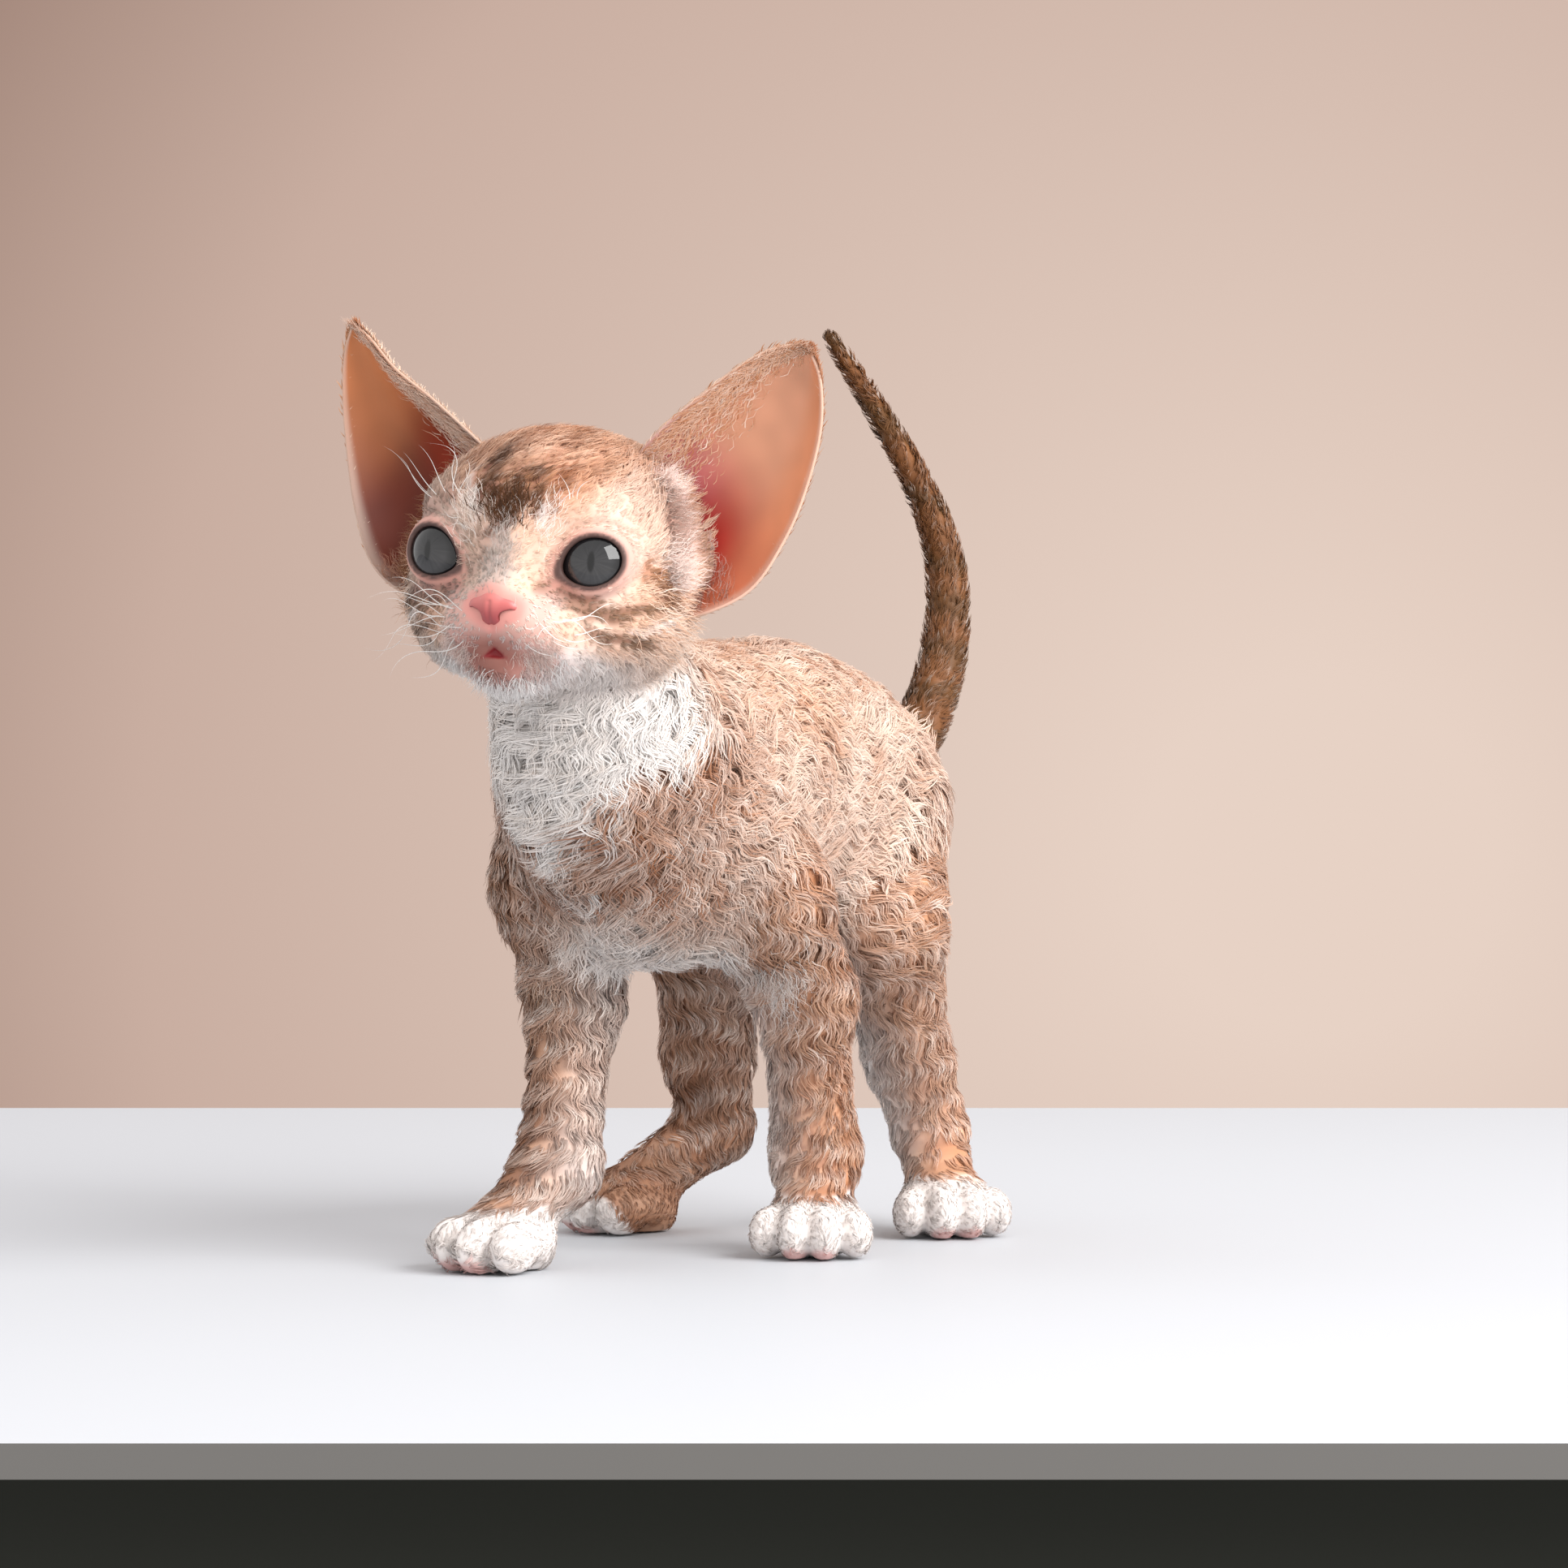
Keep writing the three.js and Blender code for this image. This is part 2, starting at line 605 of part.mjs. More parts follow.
const grown = (field, by = GAP) => (p) => field(p) - by;
const within = (fields, depth) => (p) => fields.some((field) => field(p) < -depth);
const legs = Object.entries(LEGS);
const legFields = legs.map(([, leg]) => legField(leg));

// The cores and the room they need; the neck's also with its coat
const trunkWrap = { sides: 22, rings: 14, capRings: 4 };
const trunkOf = (by) => solid(wrap(grown(trunkField, by), trunkAxis, trunkWrap));
const trunkRoom = trunkOf(GAP);
const neckCurve = new THREE.LineCurve3(neckLow, neckHigh);
const neckWrap = { sides: 18, rings: 6, capRings: 2 };
const neckOf = (by) => solid(wrap(grown(neckField, by), neckCurve, neckWrap));
const neckRoom = neckOf(GAP);
const neckCoatRoom = neckOf(CLUMP.proud + GAP);
const headRoom = inHeadFrame(wrapBall(grown(headField), skullCentre, 7, V(0, -1, 0), 1.35));
const legRooms = legFields.map((field, i) => solid(wrap(grown(field), legCurve(legs[i][1]), legWrap)));
const tail = makeTail();
const tailRoom = makeTail(GAP);
const without = (made, rooms) => rooms.reduce((left, room) => left.subtract(room), made);

// The trunk and neck with their clumps, then the legs and paws
const trunkClumps = coat(trunkField, trunkAxis, {
  size: CLUMP,
  lie: (_, random) => V(0.3 * (random() - 0.5), 1, -0.5),
  bare: within([neckField, headFieldInPlace, ...legFields], 1.5),
  seed: 11,
});
const trunkCoat = without(trunkClumps, [neckCoatRoom, headRoom, tailRoom, ...legRooms]);
addNode("torso", largest(trunkOf(0).add(trunkCoat)), "red");

const neckClumps = coat(neckField, neckCurve, {
  size: { ...CLUMP, long: 17, wide: 12, proud: 2.2 },
  from: 0.1,
  to: 0.8,
  lie: (_, random) => V(0.4 * (random() - 0.5), 0.4, -1),
  bare: within([trunkField, headFieldInPlace, ...legFields], 1.5),
  seed: 23,
});
const neckCoat = without(neckClumps, [trunkRoom, ...legRooms]);
addNode("neck", largest(without(neckOf(0).subtract(trunkRoom).add(neckCoat), [headRoom])), "white");

for (const [i, [name, leg]] of legs.entries()) {
  const { point, outward } = pawCut(leg);
  const core = solid(wrap(legFields[i], legCurve(leg), legWrap));
  const upper = cutBack(core, point, outward.clone().negate());
  addNode(name, largest(without(upper, [trunkRoom, neckRoom])), "red");
  const lowered = point.clone().addScaledVector(outward, -GAP);
  addNode(name.replace("leg", "paw"), largest(cutBack(makePaw(leg), lowered, outward)), "white");
}

const tailSplit = { point: tailCurve.getPointAt(0.55), outward: tailCurve.getTangentAt(0.55) };
const tailSplitUp = tailSplit.point.clone().addScaledVector(tailSplit.outward, GAP);
const rooted = tail.subtract(trunkRoom);
addNode("tail_base", largest(cutBack(rooted, tailSplit.point, tailSplit.outward)), "red");
addNode("tail_tip", largest(cutBack(rooted, tailSplitUp, tailSplit.outward.clone().negate())), "red");

// The head and what it carries
addNode("head", makeHead(), "red");
addNode("nose", makeNose(), "skin");
for (const side of [-1, 1]) {
  const suffix = side > 0 ? "left" : "right";
  addNode("eye_" + suffix, makeEye(side), "eye");
  addNode("ear_" + suffix, makeEar(side, headRoom), "skin");
}

// The origin is the middle of the whole kitten's box, on the floor.
const whole = new THREE.Box3().setFromObject(group, true);
const centre = whole.getCenter(V(0, 0, 0));
group.position.set(-centre.x, -centre.y, -whole.min.z);
group.updateMatrixWorld(true);

export default group;
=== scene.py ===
import math

import bpy
import numpy as np
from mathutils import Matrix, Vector


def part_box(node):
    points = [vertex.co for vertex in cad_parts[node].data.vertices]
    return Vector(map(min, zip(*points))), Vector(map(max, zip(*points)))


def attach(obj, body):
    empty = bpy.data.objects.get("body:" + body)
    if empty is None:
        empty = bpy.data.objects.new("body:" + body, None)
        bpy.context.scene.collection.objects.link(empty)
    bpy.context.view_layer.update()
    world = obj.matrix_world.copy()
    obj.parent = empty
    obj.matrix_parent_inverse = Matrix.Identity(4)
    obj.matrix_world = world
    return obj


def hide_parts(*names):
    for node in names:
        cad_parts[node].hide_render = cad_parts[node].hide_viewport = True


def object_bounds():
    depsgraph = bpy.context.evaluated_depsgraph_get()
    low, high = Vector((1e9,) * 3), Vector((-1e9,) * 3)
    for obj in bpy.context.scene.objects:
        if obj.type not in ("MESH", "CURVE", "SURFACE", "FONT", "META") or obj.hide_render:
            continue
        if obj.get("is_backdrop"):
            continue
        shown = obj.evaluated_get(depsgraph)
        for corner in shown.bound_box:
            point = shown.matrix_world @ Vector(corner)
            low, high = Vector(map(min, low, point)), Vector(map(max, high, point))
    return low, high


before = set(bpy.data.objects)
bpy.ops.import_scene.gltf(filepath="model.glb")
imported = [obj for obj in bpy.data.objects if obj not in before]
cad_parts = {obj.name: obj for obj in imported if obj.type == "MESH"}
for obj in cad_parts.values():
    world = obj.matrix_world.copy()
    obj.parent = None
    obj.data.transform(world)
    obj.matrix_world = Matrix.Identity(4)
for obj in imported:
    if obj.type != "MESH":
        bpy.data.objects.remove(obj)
cad_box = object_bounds()

REAL = np.float32
TURN = 2 * math.pi


def vec(*values):
    return np.array(values, REAL)


def unit(v):
    return v / np.maximum(np.linalg.norm(v, axis=-1, keepdims=True), 1e-9)


def norm(v):
    return np.linalg.norm(v, axis=-1)


def clamp(x):
    return np.clip(x, 0, 1)


def rising(x, low, high):
    """From 0 where x is low to 1 where it is high."""
    t = clamp((x - low) / (high - low))
    return t * t * (3 - 2 * t)


def falling(x, low, high):
    return 1 - rising(x, low, high)


def bump(x, width):
    """1 where x is 0, fading over a width."""
    return np.exp(-((x / width) ** 2))


def mix(a, b, share):
    return a + (b - a) * np.asarray(share)[..., None]


def turned(x=0, y=0, z=0):
    """A rotation matrix for turns about x, y and z in degrees, z first."""
    ax, ay, az = (math.radians(v) for v in (x, y, z))
    rx = np.array([[1, 0, 0], [0, math.cos(ax), -math.sin(ax)], [0, math.sin(ax), math.cos(ax)]])
    ry = np.array([[math.cos(ay), 0, math.sin(ay)], [0, 1, 0], [-math.sin(ay), 0, math.cos(ay)]])
    rz = np.array([[math.cos(az), -math.sin(az), 0], [math.sin(az), math.cos(az), 0], [0, 0, 1]])
    return (rx @ ry @ rz).astype(REAL)


# Fields: distance to a surface at each row of an array of points, negative inside.
def ellipsoid(centre, radii, turn=None):
    c, r = vec(*centre), vec(*radii)
    m = None if turn is None else turned(*turn)

    def field(p):
        q = p - c if m is None else (p - c) @ m
        level = norm(q / r)
        slope = norm(q / (r * r))
        return level * (level - 1) / np.maximum(slope, 1e-6)

    return field


def limb(a, b, ra, rb):
    a, b = vec(*a), vec(*b)
    along = b - a
    l2 = float(along @ along)

    def field(p):
        share = clamp((p - a) @ along / l2)
        return norm(p - a - share[:, None] * along) - (ra + (rb - ra) * share)

    return field


def meet(k, a, b):
    """The smaller of two distances, rounded over a width of k."""
    shared = np.maximum(k - np.abs(a - b), 0) / k
    return np.minimum(a, b) - shared * shared * k / 4


def blend(k, *fields):
    def field(p):
        near = fields[0](p)
        for other in fields[1:]:
            near = meet(k, near, other(p))
        return near

    return field


def placed(field, turn, at):
    at = vec(*at)
    return lambda p: field((p - at) @ turn)


def slope_at(field, p, step=0.2):
    """The field's value and gradient at points."""
    corners = np.array([[1, 1, 1], [1, -1, -1], [-1, 1, -1], [-1, -1, 1]], REAL)
    values = [field(p + step * c) for c in corners]
    gradient = sum(v[:, None] * c for v, c in zip(values, corners)) / (4 * step)
    return sum(values) / 4, gradient


def to_surface(field, p, rounds=2, most=1.5):
    """Points moved to where the field is zero, and the outward directions there."""
    for _ in range(rounds):
        value, gradient = slope_at(field, p)
        move = -value / np.maximum((gradient * gradient).sum(-1), 0.2)
        p = p + gradient * np.clip(move, -most, most)[:, None]
    return p, unit(gradient)


def noise(p, size, seed):
    """Smooth noise from -1 to 1 that changes over about size."""
    draw = np.random.default_rng(seed)
    total = 0
    for _ in range(7):
        wave = unit(draw.normal(size=3)) * TURN / (size * draw.uniform(1.6, 3.6))
        total = total + np.sin(p @ wave.astype(REAL) + draw.uniform(0, TURN))
    return total / 3.2


# The kitten's form
trunk = blend(
    12,
    ellipsoid((-8, -29.62, 83), (20.75, 29.88, 28.4)),
    ellipsoid((-9.25, 5.24, 86.5), (19.75, 37.35, 25.4)),
    ellipsoid((-10.5, 36.37, 78.5), (17.25, 28.01, 25.4)),
)
neck = blend(
    10,
    limb((-8.5, -44, 90), (-9.5, -58, 118), 18.4, 15.2),
    ellipsoid((-9, -53, 90), (13, 11.5, 19), (-8, 0, 0)),
)

HEAD_AT = vec(-9.5, -63, 127)
HEAD_TURN = turned(z=8) @ turned(y=4.2)
EYE_RADIUS = 7.6


def in_head(p):
    return (p - HEAD_AT) @ HEAD_TURN


def from_head(p):
    return p @ HEAD_TURN.T + HEAD_AT


def eye_at(side):
    return vec(side * 13.8, -12, -1.2)


SIDES = (-1, 1)
BOTH = ((1, "left"), (-1, "right"))
face = blend(
    5,
    ellipsoid((0, 3, 1.8), (24.5, 25.5, 20)),
    ellipsoid((0, -5, -11.5), (20, 17.5, 12.5)),
    *[ellipsoid((s * 14.5, -1, -8.5), (12, 15, 13)) for s in SIDES],
    *[ellipsoid((s * 21, 5, 3), (7, 9, 13), (0, s * 20, 0)) for s in SIDES],
)
muzzle = blend(
    3,
    limb((0, -15, 0), (0, -21, -7.5), 6.2, 4.6),
    *[ellipsoid((s * 4.9, -17.2, -13.4), (6.9, 7.6, 5.7)) for s in SIDES],
    ellipsoid((0, -16.8, -19.6), (7, 6.6, 4.9)),
    ellipsoid((0, -12, -13), (14, 9, 9)),
)
brow = blend(2, *[ellipsoid((s * 11, -13, 7.5), (8.5, 6.5, 5)) for s in SIDES])
lids = blend(1, *[ellipsoid(eye_at(s), (EYE_RADIUS + 1.0,) * 3) for s in SIDES])
head_form = blend(3, blend(6, face, muzzle, brow), lids)
nose_form = blend(
    1.5,
    ellipsoid((0, -23.5, -9.6), (2.9, 3.1, 3.6)),
    *[ellipsoid((s * 2.7, -22.9, -9.7), (2.4, 2.6, 2.2), (0, s * 18, 0)) for s in SIDES],
)


def eye_axes(side):
    """The ways across, up and along the gaze."""
    out = math.radians(12)
    gaze = unit(vec(side * math.sin(out), -math.cos(out), 0.04))
    across = unit(np.cross(vec(0, 0, 1), gaze))
    return across, np.cross(gaze, across), gaze


def eye_plane(q, side):
    """Places on the plane across the gaze: outward, up, and ahead of the eye's middle."""
    across, up, gaze = eye_axes(side)
    d = q - eye_at(side)
    return side * (d @ across), d @ up, d @ gaze


def lid_gap(q, side):
    """How far outside the opening between the lids a point is, looked at along the gaze."""
    a, b, ahead = eye_plane(q, side)
    inner = np.clip(-a / 5.9, 0, 1.12) ** 4
    x = (a + 0.5 * inner) / 5.9
    y = (b - 0.5 * a / 5.9 + 1.0 * inner) / 4.95
    return (np.hypot(x, y) - 1) * 5.3 + 0.85, ahead


LIP = [(0, -16.6), (2.3, -18.4), (4.8, -19.6), (7.6, -19.2)]


def on_face(x, z):
    start, way = vec(x * 0.5, -10, z * 0.8), unit(vec(x * 0.5, -14, z * 0.2))
    p = start[None, :].copy()
    for _ in range(40):
        p = p - head_form(p)[:, None] * 0.85 * way
    return p[0]


lip_points = {s: [on_face(s * x, z) for x, z in LIP] for s in SIDES}
lip_bars = [limb(a, b, 0, 0) for s in SIDES for a, b in zip(lip_points[s], lip_points[s][1:])]
philtrum_points = [on_face(0, z) for z in (-12.5, -14.5, -16.6)]
philtrum_bars = [limb(a, b, 0, 0) for a, b in zip(philtrum_points, philtrum_points[1:])]


def mouth_gap(q):
    """Negative in the small three-cornered opening under the middle of the upper lip."""
    slant = 0.64 * np.abs(q[:, 0] + 0.1) + 0.77 * (q[:, 2] + 16.8)
    return np.maximum(np.maximum(slant, -18.2 - q[:, 2]), np.abs(q[:, 1] + 24.5) - 2.6)



def nearest(bars, q):
    near = bars[0](q)
    for bar in bars[1:]:
        near = np.minimum(near, bar(q))
    return near


def carve(form, tool, k):
    """form with tool taken away, its edge rounded over k."""
    return -meet(k, -form, tool)


def spline(points, count):
    """Points and directions along a smooth curve through points."""
    pts = np.array(points, float)
    pts = np.vstack([2 * pts[0] - pts[1], pts, 2 * pts[-1] - pts[-2]])
    rows = []
    for share in np.linspace(0, len(pts) - 3 - 1e-6, count):
        i, t = int(share), share - int(share)
        a, b, c, d = pts[i : i + 4]
        square, cube = 2 * a - 5 * b + 4 * c - d, 3 * b - a - 3 * c + d
        rows.append(0.5 * (2 * b + (c - a) * t + square * t**2 + cube * t**3))
    rows = np.array(rows)
    return rows.astype(REAL), unit(np.gradient(rows, axis=0)).astype(REAL)


def by_length(points, count):
    rows, _ = spline(points, 240)
    run = np.concatenate([[0], np.cumsum(np.linalg.norm(np.diff(rows, axis=0), axis=1))])
    return np.stack([np.interp(np.linspace(0, run[-1], count), run, rows[:, n]) for n in range(3)], -1)


EAR_TIP = (43.7, 3, 38)
EAR_INNER = {
    1: [(10, 2, 13), (17, 0.2, 21.5), (26, 0.7, 29.8), (34, 1.6, 36), (40, 2.5, 38.4), EAR_TIP],
    -1: [(10, 2, 13), (17, 0.2, 19), (26, 0.7, 25.4), (34, 1.6, 30.3), (40, 2.5, 35.6), EAR_TIP],
}
EAR_OUTER = [
    (20, 0, -10.5), (29, -1, -8.6), (36.5, 1.5, -3.8), (41.2, 3.7, 5),
    (44, 5, 14), (45.8, 5.3, 24), (45.6, 4.3, 32.5), EAR_TIP,
]
EAR_ROWS = 241
EAR_STEP = 0.01
ear_edges = {
    s: [by_length([(s * x, y, z) for x, y, z in edge], EAR_ROWS) for edge in (EAR_INNER[s], EAR_OUTER)]
    for s in SIDES
}


def ear_sheet(side, s, t):
    """Points of an ear's middle sheet: s from the inner to the outer edge, t from root to tip."""
    inner, outer = (
        np.stack([np.interp(t * (EAR_ROWS - 1), np.arange(EAR_ROWS), edge[:, n]) for n in range(3)], -1)
        for edge in ear_edges[side]
    )
    back = unit(vec(side * -0.2, 0.97, -0.14))
    bow = 13.5 * np.maximum(1 - t, 0) ** 0.75 * np.maximum(np.sin(math.pi * s), 0) ** 0.8
    return inner + (outer - inner) * s[..., None] + bow[..., None] * back


# Places on the lower half of each ear's sheet, for the hollow that it leaves in the side of the head
sheet_s, sheet_t = (a.ravel() for a in np.meshgrid(np.linspace(0.02, 0.98, 22), np.linspace(0.0, 0.62, 20)))
HOLLOWS = {}
for side in SIDES:
    sheet = ear_sheet(side, sheet_s, sheet_t)
    rise = ear_sheet(side, sheet_s, sheet_t + EAR_STEP) - sheet
    over = ear_sheet(side, sheet_s + EAR_STEP, sheet_t) - ear_sheet(side, sheet_s - EAR_STEP, sheet_t)
    HOLLOWS[side] = (
        sheet.astype(REAL),
        unit(np.cross(rise, over) * side).astype(REAL),
        ellipsoid((side * 32, 2, 9), (12, 14, 12)),
    )


def ear_hollow(side, q):
    """Negative in front of an ear's sheet near its root."""
    sheet, behind, conch = HOLLOWS[side]
    tool = conch(q)
    close = tool < 4
    if close.any():
        c = q[close]
        near = ((c[:, None, :] - sheet[None]) ** 2).sum(-1).argmin(1)
        depth = ((c - sheet[near]) * behind[near]).sum(-1)
        tool[close] = np.maximum(tool[close], depth + 0.5)
    return tool


def head_skin(q):
    d = head_form(q) + 1.0
    d = d - 0.9 * bump(nose_form(q), 2.2)
    for s in SIDES:
        d = carve(d, ear_hollow(s, q), 2.0)
    near_face = q[:, 1] < -4
    if near_face.any():
        f, part = q[near_face], d[near_face]
        part = np.minimum(part, 40)
        for s in SIDES:
            gap, ahead = lid_gap(f, s)
            ball = norm(f - eye_at(s)) - EYE_RADIUS
            fold = bump(gap - 2.6, 0.7) * (ahead > 2) * (ball < 3)
            part = part + 0.35 * fold
            lid = np.maximum(ball - 0.75, gap - 1.6)
            part = meet(1.0, part, lid)
            part = carve(part, np.maximum(gap, 1 - ahead), 0.8)
        part = carve(part, nearest(lip_bars, f) - 0.35, 0.9)
        part = carve(part, nearest(philtrum_bars, f) - 0.25, 0.7)
        part = carve(part, mouth_gap(f), 0.6)
        d[near_face] = part
    return d


LEGS = {
    "foreleg_right": dict(
        joints=[(-23, -41, 84), (-25, -38, 68), (-26, -31, 47), (-23.5, -40.5, 18)],
        radii=[10.8, 11.6, 8.8, 7.6],
        paw=(-27, -53, 0),
        heading=-18,
    ),
    "foreleg_left": dict(
        joints=[(5, -30, 84), (7.5, -20, 66), (7, -5, 47), (5, 3, 18)],
        radii=[10.8, 11.6, 9.2, 8],
        paw=(8.5, -4, 0),
        heading=24,
    ),
    "hind_leg_right": dict(
        joints=[(-20, 38, 80), (-28, 20, 60), (-33, 28, 34), (-34, 33, 20)],
        radii=[13.3, 12.3, 8.6, 6.8],
        paw=(-45, 18, 0),
        heading=-37,
    ),
    "hind_leg_left": dict(
        joints=[(-1, 38, 80), (5, 26, 60), (2, 44, 33), (3, 50, 20)],
        radii=[13.3, 12.8, 8.2, 7],
        paw=(11, 42, 0),
        heading=42,
    ),
}
TOES = [(x * 5.2, -4.0 if abs(x) > 1 else -6.6, x * 7, abs(x) > 1) for x in (-1.5, -0.5, 0.5, 1.5)]


def paw_form(leg):
    palm = blend(3, ellipsoid((0, 0.3, 5.6), (9.8, 9.2, 6.0)), ellipsoid((0, 4, 2.5), (6, 5.5, 3.5)))
    toes = [
        ellipsoid((x, y, 4.7), (3.65, 6.0 if outer else 6.6, 4.9 if outer else 5.5), (0, 0, turn))
        for x, y, turn, outer in TOES
    ]
    return placed(blend(1.5, palm, *toes), turned(z=leg["heading"]), leg["paw"])


def leg_form(leg):
    joints, radii, paw = leg["joints"], leg["radii"], leg["paw"]
    bars = [limb(joints[i], joints[i + 1], radii[i], radii[i + 1]) for i in range(3)]
    ankle = limb(joints[3], (paw[0], paw[1], 6.5), radii[3], 6.2)
    shank = blend(4, blend(6, *bars), ankle)
    foot = paw_form(leg)

    def field(p):
        z = p[:, 2]
        above = shank(p) + 0.5 + 1.6 * rising(z, 12, 40)
        below = foot(p) + 0.45
        return meet(3.0, above, below)

    return field


TAIL = [
    (-9, 58, 88), (-7.5, 67, 97), (-6.5, 73, 109), (-6.5, 75, 122),
    (-7.5, 72.5, 134), (-9.5, 65, 146), (-12.5, 53, 160), (-14.5, 43, 170),
]
tail_points, tail_ways = spline(TAIL, 40)
tail_share = np.linspace(0, 1, 40)
tail_radii = 6.2 + (1.7 - 6.2) * tail_share**1.25


def tail_form(p):
    inset = 1.5 - 0.7 * tail_share
    bars = [
        limb(tail_points[i], tail_points[i + 1], tail_radii[i] - inset[i], tail_radii[i + 1] - inset[i + 1])
        for i in range(39)
    ]
    near = np.full(len(p), 60, REAL)
    close = p[:, 1] > 35
    if close.any():
        near[close] = nearest(bars, p[close])
    return near


leg_fields = {name: leg_form(leg) for name, leg in LEGS.items()}


def parts(p):
    """The skin's distance for each part of the body."""
    values = {"trunk": trunk(p) + 0.8, "neck": neck(p) + 0.8}
    q = in_head(p)
    head = norm(q) - 30
    close = head < 12
    if close.any():
        head[close] = head_skin(q[close])
    values["head"] = head
    for name, field in leg_fields.items():
        values[name] = field(p)
    values["tail"] = tail_form(p)
    return values


def head_share(v):
    """From 0 on the body to 1 on the head, given the distances to the parts."""
    return rising(np.minimum(v["trunk"], v["neck"]) - v["head"], -2.5, 1.5)


def past_rump(v):
    """How much nearer the tail is than the body."""
    return np.minimum(v["trunk"], v["hind_leg_left"]) - v["tail"]


def skin_field(p):
    v = parts(p)
    d = meet(6, v["trunk"], v["neck"])
    for name in LEGS:
        d = meet(5, d, v[name])
    d = meet(4, d, v["tail"])
    d = meet(2.5, d, v["head"])
    return np.maximum(d, 0.35 - p[:, 2])


# Colours, given as seen on a screen and kept as light
def shade(r, g, b):
    c = np.array([r, g, b], float) / 255
    return np.where(c <= 0.04045, c / 12.92, ((c + 0.055) / 1.055) ** 2.4).astype(REAL)


WHITE = shade(246, 241, 238)
CREAM = shade(238, 219, 205)
PEACH = shade(218, 172, 140)
ORANGE = shade(184, 120, 76)
RUST = shade(146, 86, 48)
BROWN = shade(104, 70, 48)
MAUVE = shade(146, 110, 98)
PINK = shade(226, 172, 164)
ROSE = shade(205, 130, 122)
DARK = shade(44, 30, 28)
MOUTH = shade(120, 40, 42)

# Marks on the face, and a stroke of painted shade, in the head's own layout: points, width, colour, strength
# and whether both sides have them
OLIVE = shade(98, 56, 22)
TAN = shade(160, 108, 68)
MARKS = [
    ([(-7, -18, 10.5), (-1, -18, 11.5), (5, -17.5, 10.5)], 4.2, TAN, 0.75, False),
    ([(-1.6, -21.8, 4.6), (-3.0, -20.2, 8.0), (-5.8, -17, 11.6), (-7.5, -13, 15)], 2.4, OLIVE, 0.97, False),
    ([(0.6, -21.6, 5.4), (0.4, -19.6, 9.4), (-1.5, -16.5, 13.2)], 2.2, OLIVE, 0.97, False),
    ([(4.4, -20.3, 7.2), (4.0, -18.5, 10.5), (2.5, -15.5, 13.8)], 2.0, OLIVE, 0.9, False),
    ([(7.4, -19.6, 7.5), (7.6, -18, 11), (6.8, -15, 14)], 1.9, RUST, 0.75, False),
    ([(4.2, -11, 17.5), (4.5, -2, 20.5), (3.6, 10, 20)], 1.7, RUST, 0.6, True),
    ([(11.5, -14.5, 13.5), (12.5, -8, 17), (11, 4, 19)], 1.5, RUST, 0.45, True),
    ([(-5.5, -21, 5.5), (-8.4, -19.4, 9.2), (-9.8, -16.5, 13)], 1.0, WHITE, 0.5, False),
    ([(5.9, -20.6, 4.5), (6.2, -19.6, 8)], 0.9, WHITE, 0.6, False),
    ([(-12, -19, 8.5), (-16.5, -16, 7.5), (-20, -12, 4)], 2.4, MAUVE, 0.5, False),
    ([(5.6, -16.5, -5.6), (8.5, -19.9, -6.5), (13, -18.1, -8.8), (17.6, -15.1, -10.2), (21.6, -11.9, -8.6)],
     2.3, shade(124, 84, 50), 0.9, True),
    ([(8, -18.5, -4.8), (14, -16.5, -7)], 1.3, TAN, 0.6, True),
    ([(14.9, -16.9, -12.7), (18.5, -13.2, -13.9), (21.9, -9.1, -14.3)], 1.4, shade(112, 74, 42), 0.85, True),
    ([(20, -12, -11.6), (24, -7, -11.2)], 1.2, WHITE, 0.7, True),
    ([(21.6, -11, -1.6), (23.6, -8.5, -4.5), (24.6, -6.5, -7.2)], 1.9, TAN, 0.85, True),
    ([(23.2, -9.5, -5.2), (24.6, -5, -8.4)], 0.9, OLIVE, 0.6, True),
    ([(17, -10, -17.0), (21, -3, -18.5)], 1.3, TAN, 0.6, True),
    ([(-9.4, -19.2, -6.8), (-15, -18, -8.2), (-20, -13.5, -7.5)], 2.7, MAUVE, 0.8, False),
    ([(-6.5, -22, -16.5), (-4.2, -20.5, -20.5), (4.2, -20.5, -20.5)], 2.6, shade(158, 100, 88), 0.9, False),
    # painted shade on the kitten's right of the nose bridge
    ([(-3, -22.5, 3), (-4, -21.5, -4)], 2.2, MAUVE, 0.35, False),
    ([(19.5, 0, 11.5), (21, 4, 6), (22.5, 1, -3)], 2.4, shade(255, 236, 236), 0.95, False),
]


def along(points, p, mirrored):
    q = np.abs(p) * vec(1, 0, 0) + p * vec(0, 1, 1) if mirrored else p
    return nearest([limb(a, b, 0, 0) for a, b in zip(points, points[1:])], q)


def bare_mouth(q):
    """Near 1 about the mouth and chin, where the skin shows through thin hair."""
    x, y, z = q.T
    return np.exp(-(((x + 1) / 6.8) ** 2) - ((z + 18.3) / 3.9) ** 2) * (y < -12)


